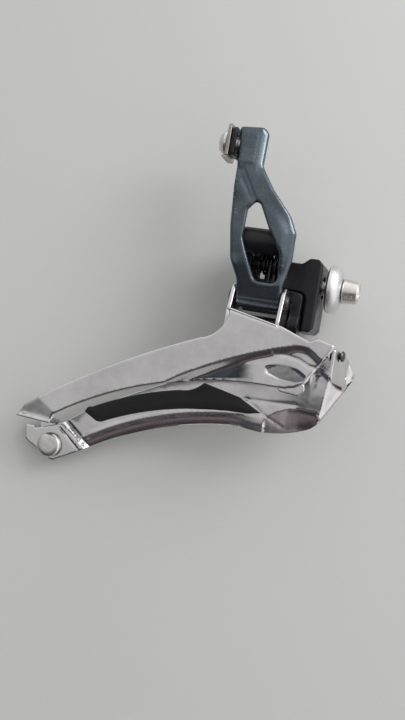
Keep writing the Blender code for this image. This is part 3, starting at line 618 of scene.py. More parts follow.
resin = look("resin", (0.009, 0.009, 0.011), 0.0, (0.50, 0.62), (0.014, 0.014, 0.016), 0.3, grain=3.0,
             relief=0.00004, specular=0.4)
nylon = look("nylon", (0.022, 0.022, 0.024), 0.0, (0.42, 0.55), (0.014, 0.014, 0.016), 0.3, grain=1.5,
             relief=0.00003)


# ---- Bracket and what stays with it ----
def join(base, *tools):
    return boolean("UNION", base, *tools)


def cut(base, *tools):
    return boolean("DIFFERENCE", base, *tools)


def make_bracket():
    profile = rounded([(-14.0, 6.2, 0.6), (-7.5, 6.2, 1.5), (-5.2, 8.2, 1.5), (-2.4, 8.2, 1.0),
                       (BLOCK_FRONT, 6.6, 0.6), (BLOCK_FRONT, -14.0, 0.8), (-2.2, -15.5, 0.5),
                       (-6.2, -15.5, 0.8), (-14.0, -12.0, 2.0)])
    plan = [(-14.0, -BLOCK_HALF), (-1.6, -BLOCK_HALF), (BLOCK_FRONT, -8.3), (BLOCK_FRONT, 8.3),
            (-1.6, BLOCK_HALF), (-14.0, BLOCK_HALF)]
    block = boolean("INTERSECT", prism(profile, "y", -BLOCK_HALF, BLOCK_HALF), prism(plan, "z", -20, 12))
    boss = circle(PIVOT_B, 3.6, 24, pi, pi)
    cheek = [(PIVOT_B[0] - 3.6, ROOF[1])] + boss + [(ROOF_END, PIVOT_B[1] + 1.5), (ROOF_END, ROOF[1])]
    roof = rounded([(PIVOT_A[0], ROOF[0], 0), (ROOF_END, ROOF[0], 0), (ROOF_END, ROOF[1], 1.2),
                    (PIVOT_A[0], ROOF[1], 0)])
    body = join(block, prism(cheek, "x", *CHEEK_B[1]), prism(cheek, "x", *CHEEK_B[0]),
                box((COIL[0] + 0.2, -5.8, -1.5), (CHEEK_B[1][1] - 0.2, -3.2, 5.6)),
                prism(roof, "x", CHEEK_B[0][0] + 0.4, CHEEK_B[1][0] + 0.9),
                rod("x", -25.7, -12.7, 4.0, PIVOT_A, 48, 0.5))
    lug_recess = rounded([(-14.8, -17.5, 0), (-4.9, -17.5, 0), (-4.9, -2.9, 2.6), (-14.8, -2.9, 0)])
    body = cut(body, prism(lug_recess, "y", -10.0, PIVOT_D[0] + 4.3),
               rod("x", -30, -5, BORE, PIVOT_A), rod("x", -30, CHEEK_B[1][1] - 0.8, BUSH_IN, PIVOT_B),
               rod("x", -10.2, 3, M5_R + GAP, (0, 0)), rod("x", BLOCK_FRONT - 0.7, 3, M5_R + 1.4, (0, 0)),
               rod("y", -12, 12, M5_R + GAP, SUPPORT_XZ),
               *[rod("z", ROOF[1] - 2.0, 20, 3.1, (SCREW_X, y)) for y in SCREW_YS],
               *[rod("z", 0, 20, 1.8, (SCREW_X, y)) for y in SCREW_YS],
               box((-24.9, -17.3, 7.6), (-18.3, -3.7, 9.3)))
    finish_piece(cast("bracket_casting", body, 0.26, 4), "bracket", black_paint,
                 ["bracket_body"], 60)


def make_limit_screws():
    for name, y in zip(("high_limit_screw", "low_limit_screw"), SCREW_YS):
        head = ROOF[1] - 2.0 + GAP
        cheese = softened([(head, 1.3), (head, 2.7), (head + 1.7, 2.7), (head + 2.2, 2.0)], 0.15)[1:]
        profile = [(5.6, 0), (5.6, 0.9)] + threaded(6.0, head - 0.2, 1.5, 0.6, 0.26) + cheese
        screw = turned(profile + [(head + 2.2, 0)], "z", (SCREW_X, y), 40)
        top = head + 0.9
        screw = cut(screw, box((SCREW_X - 1.6, y - 0.33, top), (SCREW_X + 1.6, y + 0.33, top + 3)),
                    box((SCREW_X - 0.33, y - 1.6, top), (SCREW_X + 0.33, y + 1.6, top + 3)))
        finish_piece(from_bmesh(name + "_turned", screw), name, pin_steel, [name], 30)


def make_support_bolt():
    bolt = turned([(-5.0, 0), (-5.0, 2.0)] + threaded(-4.6, 11.0, M5_R) + [(11.4, 1.9), (11.4, 0)], "y",
                  SUPPORT_XZ, 48)
    bolt = cut(bolt, prism(circle(SUPPORT_XZ, 1.3, 6), "y", -8, -2.6))
    finish_piece(from_bmesh("support_bolt_turned", bolt), "support_bolt", pin_steel,
                 ["support_bolt"], 30)


def bolt_mesh(face, back, radius, shank_to, axis_yz, socket_depth):
    """A socket-head bolt along X whose tapered head's outer face is at face."""
    towards = 1 if face > back else -1
    head = [(face, radius - 1.15), (face - towards * 0.55, radius - 0.62),
            (back + towards * 0.25, radius), (back, radius - 0.15)]
    profile = ([(face - towards * 0.25, 0), (face - towards * 0.25, radius - 1.55)] + head
               + [(back, M5_R)] + threaded(back - towards * 0.4, shank_to, M5_R) + [(shank_to, 0)])
    bolt = turned(profile, "x", axis_yz, 72)
    recess = sorted((face + towards, face - towards * socket_depth))
    deep, out = face - towards * 0.7, face + towards
    lead = turned([(deep, 0), (deep, 2.0), (out, 3.4), (out, 0)], "x", axis_yz, 48)
    return cut(bolt, prism(circle(axis_yz, HEX_R, 6), "x", *recess), lead)


def make_clamp():
    low, high, radius = 0.6, 5.4, 8.0
    rim = low + 0.9
    quarter = circle((0, 0), 1.0, 22, pi / 2, -pi / 2)
    cap = [(rim + (high - rim) * u, radius * (0.45 + 0.55 * v)) for u, v in quarter]
    dome = [(low, M5_R + GAP), (low, radius - 1.0), (low + 0.15, radius - 0.7), (low + 0.6, radius), *cap,
            (high, M5_R + 0.6), (high - 0.3, M5_R + GAP)]
    finish_piece(from_bmesh("clamp_washer_turned", turned(dome, "x", (0, 0), 96)), "clamp_washer", alloy,
                 ["clamp_washer"], 35)
    bolt = bolt_mesh(high + 5.5, high + GAP, 4.2, -9.6, (0, 0), 3.0)
    finish_piece(from_bmesh("clamp_bolt_turned", bolt), "clamp_bolt", bolt_steel,
                 ["clamp_bolt"], 30)


def make_pins():
    """Riveted pins, and the nylon bushes they turn in."""
    def pin_mesh(centre, low, high, head_low, head_high):
        profile = [(low - 1.0, 0), (low - 1.0, head_low - 0.5), (low - 0.9, head_low - 0.2),
                   (low - 0.3, head_low), (low, head_low), (low, PIN_R), (high, PIN_R)]
        if head_high > PIN_R:
            profile += [(high, head_high), (high + 0.3, head_high), (high + 0.9, head_high - 0.3),
                        (high + 1.0, 0)]
        else:
            profile += [(high, 0)]
        return turned(profile, "x", centre, 40)

    for name, body, centre, head_high in (("outer_upper_pin", "bracket", PIVOT_A, 2.2),
                                          ("inner_upper_pin", "bracket", PIVOT_B, PIN_R),
                                          ("outer_lower_pin", "cage", PIVOT_C, 2.3),
                                          ("inner_lower_pin", "cage", PIVOT_D, PIN_R)):
        low, high = (corner.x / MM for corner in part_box(name))
        widest = (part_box(name)[1].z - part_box(name)[0].z) / 2 / MM
        far_end = high - (1.0 if head_high > PIN_R else 0.0)
        mesh = pin_mesh(centre, low + 1.0, far_end, widest, head_high)
        finish_piece(from_bmesh(name + "_turned", mesh), body, pin_steel, [name], 35)
    for name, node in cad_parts.items():
        if "_bush" in name or name in ("spring_sleeve", "limit_screw_plate"):
            node.data.materials.clear()
            node.data.materials.append(nylon)
            soft = node.modifiers.new("soft edges", "BEVEL")
            soft.width, soft.segments, soft.limit_method = 0.12 * MM, 2, "ANGLE"


def make_spring():
    wire, radius, turns = 0.45, 2.95, 2.25
    by, bz = PIVOT_B
    first, last = COIL[0] + wire, COIL[1] - wire
    points = [(first, ROOF_END - 1.2, bz + radius), (first, by + 3.0, bz + radius)]
    steps = int(turns * 36)
    for i in range(steps + 1):
        angle = pi / 2 + 2 * pi * turns * i / steps
        points.append((first + (last - first) * i / steps, by + radius * cos(angle),
                       bz + radius * sin(angle)))
    points += [(last, by - radius, bz - 3.0), (last, by - radius + 0.15, bz - 8.5)]
    points = [Vector(p) for p in points]
    bm = bmesh.new()
    rings, side = [], Vector((1, 0, 0))
    for i, point in enumerate(points):
        along = (points[min(i + 1, len(points) - 1)] - points[max(i - 1, 0)]).normalized()
        side = (side - along * along.dot(side)).normalized()
        other = along.cross(side)
        rings.append([bm.verts.new(point + side * u + other * v) for u, v in circle((0, 0), wire, 16)])
    for one, two in zip(rings, rings[1:]):
        for i in range(16):
            bm.faces.new((one[i], one[(i + 1) % 16], two[(i + 1) % 16], two[i]))
    bm.faces.new(rings[0])
    bm.faces.new(rings[-1])
    spring = from_bmesh("return_spring_wire", outward(bm))
    spring.data.materials.append(wire_steel)
    spring.data.shade_smooth()
    spring.data.set_sharp_from_angle(angle=radians(50))
    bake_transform(spring)
    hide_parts("return_spring")


# ---- Outer link with its cable arm ----
ARM_FACE = ((-12.0, -21.2), (-8.0, -23.1), (-3.0, -24.6), (3.0, -26.2), (10.0, -26.9), (20.0, -26.6),
            (30.0, -26.0), (37.0, -25.7), (45.0, -25.5))
ARM = rounded([(-31.6, 44.4, 1.2), (-23.6, 44.8, 2.0), (-22.3, 43.0, 1.0), (-22.3, 32.6, 3.0),
               (-17.5, 25.6, 6.0), (-11.0, 18.2, 5.0), (-8.5, 13.2, 3.0), (-8.5, 5.6, 4.0),
               (-10.3, -3.0, 3.0), (-10.5, -8.4, 0), (-24.6, -8.4, 0), (-25.0, -3.0, 3.0),
               (-28.0, 3.4, 6.0), (-29.6, 13.6, 8.0), (-30.2, 20.6, 8.0), (-30.4, 31.0, 6.0)])
WINDOW = rounded([(-22.4, 21.4, 2.0), (-24.6, 18.6, 1.5), (-24.7, 9.6, 2.0), (-19.4, -2.8, 2.4),
                  (-12.3, -2.9, 2.0), (-12.4, 6.2, 3.0), (-16.9, 13.2, 6.0), (-20.8, 20.6, 2.0)])
ARM_RIGHT = [(-22.3, 33.0), (-17.5, 25.6), (-11.0, 18.2), (-8.5, 13.2), (-8.5, 5.6), (-10.3, -3.0)]
HEAD_FACET = rounded([(-29.9, 32.4, 0.8), (-24.9, 32.4, 0.8), (-24.9, 43.4, 0.8), (-29.9, 43.2, 0.8)])


def arm_surface(p):
    """Y of the arm's outboard face, at (X, Z) points."""
    x, z = p[:, 0], p[:, 1]
    y = curve_value(ARM_FACE, z)
    y = np.where(z < -3.4, -24.52 + 0.36 * (-3.4 - z), y)      # the foot slopes back
    # the left leg turns back, the right edge rolls back, and the head steps back on its right
    y += 0.24 * np.clip(-24.4 - x, 0, 6) * smooth((z - 1) / 4) * smooth((26 - z) / 6)
    from_right = distance(p, ARM_RIGHT)
    y += 1.5 * (1 - smooth(from_right / 5.0)) * smooth((z + 4) / 5) * smooth((24 - z) / 9)
    y += 0.75 * smooth((x + 24.9) / 2.2) * smooth((z - 29) / 3)
    y = y - press(p, HEAD_FACET, 0.35, 0.7) + 0.07 * np.clip(z - 33, 0, 12)
    # two creases below the head
    y += ridge(p, [(-30.0, 31.5), (-26.6, 25.8), (-23.9, 21.9)], 0.50, 0.55)
    y += ridge(p, [(-28.2, 31.0), (-25.2, 26.0), (-22.6, 21.9)], 0.40, 0.55)
    return y


def make_outer_link():
    skin = to_bmesh(sheet("skin", ARM, arm_surface, 2.2, [WINDOW], 0.75, 0.35, 1.0))
    flange = hull(circle(PIVOT_A, 4.2, 40) + [(-25.6, 15.0), (-25.3, 2.5)])
    head_back = CABLE_YZ[0] + 3.6
    low, high = CABLE_YZ[1] - 5.6, 44.2
    head = rounded([(-24.6, low, 0), (head_back, low + 1.5, 1.4), (head_back, high - 0.6, 1.4),
                    (-24.6, high, 0)])
    arm = join(skin, prism(head, "x", -31.2, -24.1), prism(flange, "x", -27.4, -26.2),
               prism(flange, "x", -12.3, -11.1), rod("x", -24.6, -10.5, 3.25, PIVOT_C, 56, 0.4))
    arm = cut(arm, rod("x", -40, -5, BUSH_IN, PIVOT_A), rod("x", -40, -5, BORE, PIVOT_C),
              rod("x", -35, -24.2, M5_R + GAP, CABLE_YZ))
    finish_piece(cast("cable_arm", arm, 0.23, 7), "outer_link", slate_paint,
                 ["outer_link_arm"], 60)


def make_cable_clamp():
    y, z = CABLE_YZ
    hole = M5_R + GAP
    bolt = bolt_mesh(-37.4, -35.7, 3.8, -24.6, CABLE_YZ, 2.2)
    flange = turned(softened([(-35.9, 2.2), (-35.9, 4.3), (-34.9, 4.3), (-34.9, 2.2)], 0.2), "x", CABLE_YZ)
    finish_piece(merged("cable_bolt_turned", from_bmesh("bolt", bolt), from_bmesh("flange", flange)),
                 "cable_bolt", bolt_steel, ["cable_bolt"], 30)
    low, high = -34.6, -33.5
    outline = rounded([(y - 5.2, z - 4.8, 0.4), (y + 4.2, z - 4.8, 0.4), (y + 4.2, z + 5.4, 1.5),
                       (y - 5.2, z + 5.4, 1.5)])
    plate = sheet("plate", outline, flat_at(low), high - low, [circle(CABLE_YZ, hole)], 0.6, 0.2, None,
                  across)
    lip = cast("lip", box((low - 0.9, y - 5.0, z - 5.4), (high, y + 4.0, z - 4.6)), 0.2, 3)
    finish_piece(merged("cable_plate_pressed", plate, lip), "cable_plate", dull_steel,
                 ["cable_plate"], 35)
    seat = rounded([(y - 4.6, z - 4.2, 0.8), (y + 3.6, z - 4.2, 0.8), (y + 3.6, z + 4.8, 2.0),
                    (y - 4.6, z + 4.8, 2.0)])
    seat = sheet("cable_converter_moulded", seat, flat_at(-33.2), 1.3, [circle(CABLE_YZ, hole)], 0.6, 0.25,
                 None, across)
    finish_piece(seat, "outer_link", black_paint, ["cable_converter"], 35)


# ---- Inner link ----
def make_inner_link():
    (first, coil_left), (coil_right, last) = LINK_BARREL
    left, right = LUGS_D
    web = PIVOT_D[1] + 7.6
    apron = PIVOT_D[1] + PIN_R + 0.9
    front = rounded([(first, PIVOT_B[1], 0), (coil_left, PIVOT_B[1], 0), (coil_left, -0.8, 0.8),
                     (coil_right, -0.8, 0.8), (coil_right, PIVOT_B[1], 0), (last, PIVOT_B[1], 0),
                     (last, -2.8, 1.0), (right[1], -3.8, 1.5), (right[1], PIVOT_D[1], 0),
                     (right[0], PIVOT_D[1], 0), (right[0], web, 0.6), (-10.8, web, 0.6),
                     (-10.8, apron, 0.8), (-24.3, apron, 0.8), (-24.3, web, 0.6), (left[1], web, 0.6),
                     (left[1], PIVOT_D[1], 0), (left[0], PIVOT_D[1], 0), (left[0], -5.4, 2.0),
                     (first, -2.8, 2.0)])

    def stop_lug(angle):
        c, s = cos(radians(angle)), sin(radians(angle))
        corners = rounded([(-2.6, -1.3, 0), (-6.6, -1.3, 0.5), (-6.6, 1.3, 0.5), (-2.6, 1.3, 0)])
        outline = [(PIVOT_B[0] + u * c - v * s, PIVOT_B[1] + u * s + v * c) for u, v in corners]
        return prism(outline, "x", SCREW_X - 1.15, SCREW_X + 1.15)

    link = join(prism(front, "y", PIVOT_B[0] - 1.8, PIVOT_B[0] + 1.0),
                rod("x", first, coil_left, 3.4, PIVOT_B), rod("x", coil_right, last, 3.4, PIVOT_B),
                rod("x", *left, 3.8, PIVOT_D), rod("x", *right, 3.8, PIVOT_D), stop_lug(38), stop_lug(180))
    link = cut(link, rod("x", -40, -18, BORE, PIVOT_B), rod("x", -18.5, 0, BUSH_IN, PIVOT_B),
               rod("x", -40, LUGS_D[1][1] - 0.9, BORE, PIVOT_D))
    finish_piece(cast("inner_link_casting", link, 0.22, 3), "inner_link", black_paint,
                 ["inner_link"], 60)


# ---- Cage, with its pressed lines as (X, Z) ----
GROOVE = path((-43.5, -39.6), ((-24.0, -28.7), (-4.0, -21.3)), ((-0.5, -20.7), (2.5, -21.6)), (6.6, -24.6))
INNER_RIM = path((-67.6, -64.6), ((-40.0, -52.3), (-18.6, -48.6)), ((-7.0, -48.9), (3.4, -45.6)))
TAIL_FOLD = ((-84.6, -49.0), (-75.4, -54.6))
JOGGLE = ((-68.8, -65.4), (-77.4, -58.6))
FLARE = ((6.2, -40.6), (7.4, -30.0))
BRIDGE_FACE = ((8.8, -25.2), (12.0, -10.4))
BRIDGE_RIVET = (10.03, -19.5, -21.7)
RIVET_HOLE = circle(BRIDGE_RIVET[1:], 1.3)
PAD_STUDS = ((-61.0, -50.3), (-44.0, -43.6), (-26.0, -40.6))
LEAF_FOOT = ((-43.0, -38.2), (-36.0, -36.6), (-29.0, -35.1), (-22.0, -34.0), (-14.9, -33.3), (-8.0, -33.0))
LEAF_BROW = [(-9.0, -23.9), (-5.2, -24.1), (-1.0, -24.9), (2.2, -26.4), (4.6, -26.6)]
OVAL = rounded([(-11.5, -28.5, 1), (-7.7, -27.1, 2), (-3.9, -26.9, 2), (-0.8, -28.0, 2), (2.0, -29.8, 1),
                (1.2, -31.6, 1), (-1.4, -32.4, 1), (-6.4, -32.0, 2), (-10.8, -30.5, 1)])
LENS_TOP = [(-11.2, -45.0), (-8.1, -42.5), (-4.4, -40.9), (-0.4, -40.1), (5.1, -40.3), (6.3, -42.4)]
CREASES = [[(-17.7, -39.7), (-12.0, -43.6), (-5.6, -46.7)], [(-18.3, -39.8), (-8.5, -39.4), (-2.1, -39.0)]]
BRIDGE_FOOT = [(1.4, -28.0), (4.1, -27.3), (7.5, -29.2), (12.4, -32.4)]
FRONT_FOLD = [(14.4, -27.0), (11.7, -33.4), (6.1, -43.4)]
FRONT_EDGE = [(8.9, -19.9), (2.9, -29.6), (1.6, -31.9), (-0.8, -33.4), (-3.4, -34.2)]
PLATE_GRID = 0.55


def outer_surface(p):
    """Y of the outer plate's outer face, at (X, Z) points.  Larger is deeper, away from the viewer."""
    x, z = p[:, 0], p[:, 1]
    g = np.array(GROOVE)
    # the field below the step, with a leaf scooped out of it
    below = (x > g[0, 0]) & (x < g[-1, 0]) & (z < np.interp(x, g[:, 0], g[:, 1]))
    into = np.where(below, np.clip(distance(p, GROOVE) / 2.3, 0, 1), 0.0)
    y = OUTER_Y + 1.25 * (1 - (1 - into) ** 2)
    rise = np.clip(z - np.interp(x, *zip(*LEAF_FOOT)), 0, 5.0)
    scoop = 0.27 * (5.0 - rise) * smooth((-10.5 - x) / 11.0) + 0.09 * np.clip(-14.0 - x, 0, 26.0)
    y += scoop * smooth(into) * smooth((x + 43.0) / 6.0)
    # the oval dimple and the brow over it, then the rolled front edges and the folded tail
    y = y + 0.14 * press(p, OVAL, 1.0, 0.5) * (-26.9 - z) + ridge(p, LEAF_BROW, 0.22, 0.50)
    y = y + rolled(p, [(-24.9, -12.2), (-9.2, -15.2)], 1.5) + rolled(p, FRONT_EDGE, 0.7)
    y += 0.16 * np.maximum(0.0, -side_of(p, TAIL_FOLD))
    return y - ridge(p, [(-89.9, -57.3), (-77.9, -57.8)], 0.55, 0.8)


def inner_surface(p):
    """Y of the inner plate's outboard face, at (X, Z) points."""
    x, z = p[:, 0], p[:, 1]
    # the rolled lower rim and the line above it
    front = smooth((x + 26.0) / 17.0)
    from_rim = distance(p, INNER_RIM)
    roll = np.clip(1 - from_rim / 4.2, 0, 1) ** 2.4
    y = INNER_Y + (1.15 - 0.45 * front) * roll * smooth((x + 71.0) / 4.0)
    y = y - 0.22 * (1 - front) * np.exp(-((from_rim - 4.1) / 0.5) ** 2)
    # the joggled tail, then the flared and leaning front
    y = y - 0.9 * smooth(0.5 + side_of(p, JOGGLE) / 1.2)
    y = y + ridge(p, beside(JOGGLE, -1.1), 0.35, 0.5) + ridge(p, beside(JOGGLE, 2.2), 0.25, 0.35)
    y = y + 0.36 * np.maximum(0.0, -side_of(p, FLARE)) + 0.35 * smooth(0.5 - side_of(p, FLARE) / 0.7)
    y += 0.14 * np.clip(-29.0 - z, 0, 11.0) * smooth((x + 12.0) / 14.0)
    # the lens-shaped foot, its creases and the dent under the bridge
    below = np.interp(x, *zip(*LENS_TOP), -99.0, -99.0) - z
    y = y + 0.27 * np.clip(below, 0, 6.5) + 0.05 * np.clip(x + 8.0, 0, 14.0) * smooth(below / 1.2)
    for line in CREASES:
        y += ridge(p, line, 0.13, 0.5)
    under = np.interp(x, *zip(*BRIDGE_FOOT), -10.0, -99.0) - z
    y += 0.55 * smooth(0.5 + under / 1.2) * np.exp(-(np.maximum(under, 0.0) / 5.0) ** 2) * smooth(x / 3.0)
    return y + rolled(p, FRONT_FOLD, 1.5)


def at_bridge(u, v, w):
    """From (Y, Z, offset to the front) to a point on the front bridge."""
    (x0, y0), (x1, y1) = BRIDGE_FACE
    return x0 + (u - y0) * (x1 - x0) / (y1 - y0) + w, u, v


def on_bridge(bm):
    """Turns a piece to face along the bridge's normal, and moves it to the rivet's place."""
    (x0, y0), (x1, y1) = BRIDGE_FACE
    turn = Matrix.Rotation(-atan2(x1 - x0, y1 - y0), 3, "Z")
    bmesh.ops.rotate(bm, verts=bm.verts, cent=(0, 0, 0), matrix=turn)
    bmesh.ops.translate(bm, verts=bm.verts, vec=BRIDGE_RIVET)
    return bm


def make_outer_plate():
    outline = path((-89.9, -57.5), (-87.5, -53.4), ((-61.5, -36.8), (-33.0, -22.9)),
                   ((-27.0, -19.2), (-24.9, -12.2)), (-9.2, -15.2), (1.0, -18.9), (3.3, -17.6),
                   (8.8, -19.0), (9.0, -19.9), (2.9, -29.6), ((0.6, -32.9), (-3.4, -34.3)), (-8.0, -34.4),
                   ((-43.0, -39.2), (-76.6, -54.9)), (-77.9, -58.1))
    plate = sheet("plate", outline, outer_surface, grid=PLATE_GRID, edge=0.25, near_edge=0.5, lines=[
        list(TAIL_FOLD), closed(OVAL), beside(closed(OVAL), 0.5), beside(closed(OVAL), -0.5),
        *[beside(GROOVE, -gap) for gap in (-0.15, 0.15, 0.7, 1.4, 2.3)]])
    ear = hull(circle(PIVOT_C, 4.4, 40) + circle(PIVOT_D, 3.8, 40)
               + [(OUTER_Y + 0.2, -14.6), (OUTER_Y + 0.2, -18.2)])
    holes = [circle(PIVOT_C, BUSH_IN), circle(PIVOT_D, BUSH_IN)]
    ears = [sheet("ear", ear, flat_at(low), 1.2, holes, 0.7, 0.25, None, across)
            for low in (-26.1, -10.2)]
    floor = [(-25.8, OUTER_Y + 0.1), (-9.3, OUTER_Y + 0.1), (-9.3, -15.0), (-25.8, -15.0)]
    floor = sheet("floor", floor, lambda p: -13.0 - 3.4 * (p[:, 0] + 25.8) / 16.5, 1.0, (), 0.7, 0.45, None,
                  lambda u, v, w: (u, v, w))
    tongue = rounded([(-7.0, -33.0, 0.3), (1.6, -31.8, 1.0), (1.9, -34.0, 1.2), (0.2, -36.0, 1.2),
                      (-5.8, -35.4, 0.8)])
    tongue = sheet("tongue", tongue, flat_at(OUTER_Y + 1.55), 1.2, (), 0.6, 0.3)
    tab = rounded([(OUTER_Y + 0.1, -19.9, 0.3), (OUTER_Y + 0.1, -23.2, 0.8), (-16.4, -24.0, 1.0),
                   (-16.4, -19.8, 0.8)])
    tab = sheet("tab", tab, flat_at(-1.8), 1.0, [RIVET_HOLE], 0.6, 0.2, None, at_bridge)
    x, z = TAIL_XZ
    back = INNER_Y + SHEET_T + GAP
    foot = hull(circle(TAIL_XZ, 3.8, 48) + [(x - 6.4, z + 8.1), (x + 1.6, z + 7.3)])
    shelf = [(OUTER_Y + 1.0, -56.9), (back + SHEET_T, z + 7.3), (back + SHEET_T, z + 8.5),
             (OUTER_Y + 1.0, -55.7)]
    tail = cut(join(prism(foot, "y", back, back + SHEET_T), prism(shelf, "x", x - 6.2, x + 0.8)),
               rod("y", -20, 0, 2.3, TAIL_XZ))
    tail = cast("tail", tail, 0.2, 3)
    finish_piece(merged("outer_plate_pressed", plate, *ears, floor, tongue, tab, tail), "cage", plate_steel,
                 ["outer_plate"], 45)


def make_inner_plate():
    outline = path((-87.6, -61.6), (-88.2, -60.9), (-91.3, -60.9), (-90.5, -66.0), (-81.6, -70.5),
                   ((-80.2, -71.2), (-78.8, -70.7)), (-71.8, -67.1), ((-40.0, -52.6), (-18.6, -48.9)),
                   ((-7.0, -49.2), (3.6, -45.8)), (6.0, -43.6), (14.6, -28.0), (14.2, -26.4), (11.4, -21.4),
                   (5.0, -21.0), (-22.0, -28.0), ((-50.0, -41.4), (-69.6, -51.6)), (-79.0, -58.6))
    holes = [circle(stud, 1.5, 24) for stud in PAD_STUDS] + [circle(TAIL_XZ, 2.3, 36)]
    plate = sheet("plate", outline, inner_surface, SHEET_T, holes, PLATE_GRID, 0.3, 0.3, lines=[
        list(JOGGLE), list(FLARE), LENS_TOP, BRIDGE_FOOT, *CREASES,
        *[beside(crease, gap) for crease in CREASES for gap in (-0.4, 0.4)],
        *[beside(FRONT_FOLD, -gap) for gap in (0.5, 0.9, 1.5)],
        *[beside(JOGGLE, gap) for gap in (-1.6, -1.1, -0.6, 0.6, 1.8, 2.2, 2.6)],
        *[beside(INNER_RIM[2:-2], gap) for gap in (1.0, 2.0, 3.0, 4.1, 4.7)]])
    bridge = rounded([(-25.2, -19.7, 1.0), (-25.2, -29.7, 1.5), (-10.4, -31.3, 0), (-10.4, -22.2, 0)])
    bridge = sheet("bridge", bridge, flat_at(-0.55), 1.1, [RIVET_HOLE], 0.6, 0.3, None,
                   at_bridge)
    finish_piece(merged("inner_plate_pressed", plate, bridge), "cage", plate_steel,
                 ["inner_plate"], 45)


def make_bridge_rivet():
    front, back = 0.9, -2.1
    rivet = [(back - 0.7, 0), (back - 0.7, 1.2), (back - 0.5, 1.5), (back - 0.1, 1.7), (back, 1.6),
             (back, 1.0), (front, 1.0), (front, 1.6), (front + 0.1, 1.7), (front + 0.5, 1.5),
             (front + 0.7, 1.2), (front + 0.7, 0)]
    finish_piece(from_bmesh("bridge_rivet_swaged", on_bridge(turned(rivet, "x", steps=40))), "cage",
                 pin_steel, ["bridge_rivet"], 35)


def make_skid_pad():
    outline = path((-71.0, -53.3), ((-70.6, -51.8), (-68.8, -51.1)), ((-56.4, -45.4), (-40.2, -40.6)),
                   ((-35.0, -39.2), (-32.4, -37.0)), (-20.2, -39.6), (-12.6, -43.4), (-17.0, -44.4),
                   ((-39.0, -46.6), (-65.2, -55.6)), (-66.6, -55.6))
    face = INNER_Y - GAP - 1.2

    def crowned(p):
        return face + 0.35 * (1 - smooth(distance(p, closed(outline)) / 2.4))

    pad = sheet("pad", outline, crowned, 1.2, (), 0.6, 0.2, 0.45)
    level = face + 0.35
    back = INNER_Y + SHEET_T + GAP
    studs = [from_bmesh("stud", turned([(level, 0), (level, 1.2), (back, 1.2), (back, 2.1),
            (back + 0.1, 2.2), (back + 0.5, 2.1), (back + 0.8, 1.5), (back + 0.8, 0)], "y", stud, 36))
             for stud in PAD_STUDS]
    finish_piece(merged("skid_pad_moulded", pad, *studs), "cage", resin, ["skid_pad"], 45)


def make_tail_screw():
    face = INNER_Y - 0.9 - GAP
    end = INNER_Y + 2 * SHEET_T + 2 * GAP + 1.4
    head = [(face - 1.85, 0), (face - 1.85, 2.2), (face - 1.78, 3.35), (face - 1.62, 3.72),
            (face - 1.3, 3.98), (face - 0.9, 4.1), (face - 0.1, 4.1), (face, 3.9), (face, 2.0)]
    screw = turned(head + threaded(face + 0.3, end - 0.2, 2.0, 0.7, 0.3) + [(end, 1.5), (end, 0)], "y",
                   TAIL_XZ, 72)
    finish_piece(from_bmesh("tail_screw_turned", screw), "cage", screw_steel, ["tail_screw"],
                 35)


make_bracket()
make_limit_screws()
make_support_bolt()
make_clamp()
make_pins()
make_spring()
make_outer_link()
make_cable_clamp()
make_inner_link()
make_outer_plate()
make_inner_plate()
make_bridge_rivet()
make_skid_pad()
make_tail_screw()


# ---- Table, light and camera ----
# The viewer looks 14 degrees off the part's side, with the picture turned by 9.5 degrees.
EYE = Vector((41.87, -317.59, -29.74)) * MM
LOOK = Vector((-0.2419, 0.9703, 0.0)).normalized()
RIGHT = Vector((0.9570, 0.2386, 0.1650)).normalized()
UP = Vector((-0.1601, -0.0399, 0.9863)).normalized()
TABLE_AT, TABLE_HALF = 13.5 * MM, 0.9
AIM = Vector((-30, -15, -15)) * MM
SENSOR, FOCAL_TO_HEIGHT = 36.0, 967.7 / 720.0


def make_table():
    """A pale tabletop that is only seen from the viewer's side."""
    centre = LOOK * TABLE_AT + RIGHT * (-0.03)
    corners = [centre + RIGHT * TABLE_HALF * u + UP * TABLE_HALF * v
               for u, v in ((-1, -1), (1, -1), (1, 1), (-1, 1))]
    mesh = bpy.data.meshes.new("table")
    mesh.from_pydata([tuple(c) for c in corners], [], [(0, 1, 2, 3)])
    table = placed("table", mesh)
    material, tree, shader, where = new_material("pale_table")
    cloud = noise(tree, where, 0.012, 2.0)
    tree.links.new(blended(tree, cloud, (0.545, 0.553, 0.543), (0.510, 0.518, 0.512)),
                   shader.inputs["Base Color"])
    tree.links.new(ramped(tree, noise(tree, where, 0.05, 3.0), 0.3, 0.7, 0.42, 0.52),
                   shader.inputs["Roughness"])
    back = tree.nodes.new("ShaderNodeNewGeometry").outputs["Backfacing"]
    clear = tree.nodes.new("ShaderNodeBsdfTransparent").outputs[0]
    mix = tree.nodes.new("ShaderNodeMixShader")
    for socket, value in zip(mix.inputs, (back, shader.outputs[0], clear)):
        feed(tree, socket, value)
    tree.links.new(mix.outputs[0], tree.nodes["Material Output"].inputs["Surface"])
    mesh.materials.append(material)


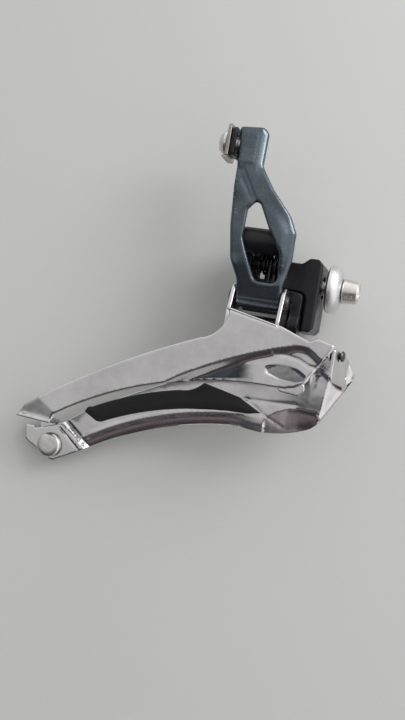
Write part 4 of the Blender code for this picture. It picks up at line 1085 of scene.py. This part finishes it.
def make_world():
    """Soft surroundings: bright above and to the right, darker low down where the viewer stands."""
    world = bpy.data.worlds.new("studio")
    bpy.context.scene.world = world
    world.use_nodes = True
    tree = world.node_tree
    sight = tree.nodes.new("ShaderNodeTexCoord").outputs["Generated"]

    def along(axis):
        node = wire_up(tree, "ShaderNodeVectorMath", operation="DOT_PRODUCT")
        feed(tree, node.inputs[0], sight)
        feed(tree, node.inputs[1], tuple(axis))
        return node.outputs["Value"]

    def eased(value, *ends):
        return ramped(tree, value, *ends, "SMOOTHSTEP")

    up, right = along(UP), along(RIGHT)
    height = maths(tree, up, maths(tree, maths(tree, right, 0.0, "MAXIMUM"), 0.8, "MULTIPLY"))
    above = eased(height, -0.34, -0.06, 0.0, 1.0)
    light = maths(tree, maths(tree, above, 0.56, "MULTIPLY"), ramped(tree, up, -0.1, 1.0, 0.0, 0.50))
    light = maths(tree, light, eased(right, -0.12, 0.60, 0.0, 0.60))
    light = maths(tree, light, eased(right, -0.98, -0.68, -0.33, 0.0))
    light = maths(tree, light, 0.0, "MAXIMUM")
    # what is low down is faint and warm, with a blue patch to the left
    blue = maths(tree, eased(right, -0.58, -0.44, 1.0, 0.0), eased(right, -0.92, -0.74, 0.0, 1.0),
                 "MULTIPLY")
    low = blended(tree, blue, (0.185, 0.148, 0.157), (0.060, 0.080, 0.100))
    low = blended(tree, eased(height, -0.44, -0.30, 0.0, 1.0), low, (0.012, 0.012, 0.014))
    low = blended(tree, eased(height, -0.80, -0.52, 0.0, 1.0), (0.060, 0.052, 0.053), low)
    low = blended(tree, above, low, (0.0, 0.0, 0.0))
    glow = tree.nodes.new("ShaderNodeCombineColor")
    for i, part in enumerate((1.0, 0.995, 0.99)):
        tree.links.new(maths(tree, light, part, "MULTIPLY"), glow.inputs[i])
    background = tree.nodes["Background"].inputs
    feed(tree, background["Color"], blended(tree, 1.0, low, glow.outputs[0], "ADD"))
    feed(tree, background["Strength"], 1.0)


def make_light(name, where, size, power, colour):
    data = bpy.data.lights.new(name, "AREA")
    data.shape, data.size, data.energy, data.color = "DISK", size, power, colour
    thing = placed(name, data)
    thing.location = AIM + where
    thing.rotation_euler = (-where).to_track_quat("-Z", "Y").to_euler()


def make_camera():
    data = bpy.data.cameras.new("camera")
    data.sensor_fit, data.sensor_height, data.lens = "VERTICAL", SENSOR, SENSOR * FOCAL_TO_HEIGHT
    data.clip_start, data.clip_end = 0.01, 10.0
    camera = placed("camera", data)
    turn = Matrix((RIGHT, UP, -LOOK)).transposed().to_4x4()
    camera.matrix_world = Matrix.Translation(EYE) @ turn
    bpy.context.scene.camera = camera


make_table()
make_world()
make_light("key", -LOOK * 0.42 + UP * 0.32 + RIGHT * 0.50, 0.40, 2.5, (1.0, 0.995, 0.98))
make_camera()
bpy.context.scene.view_settings.view_transform = "Standard"
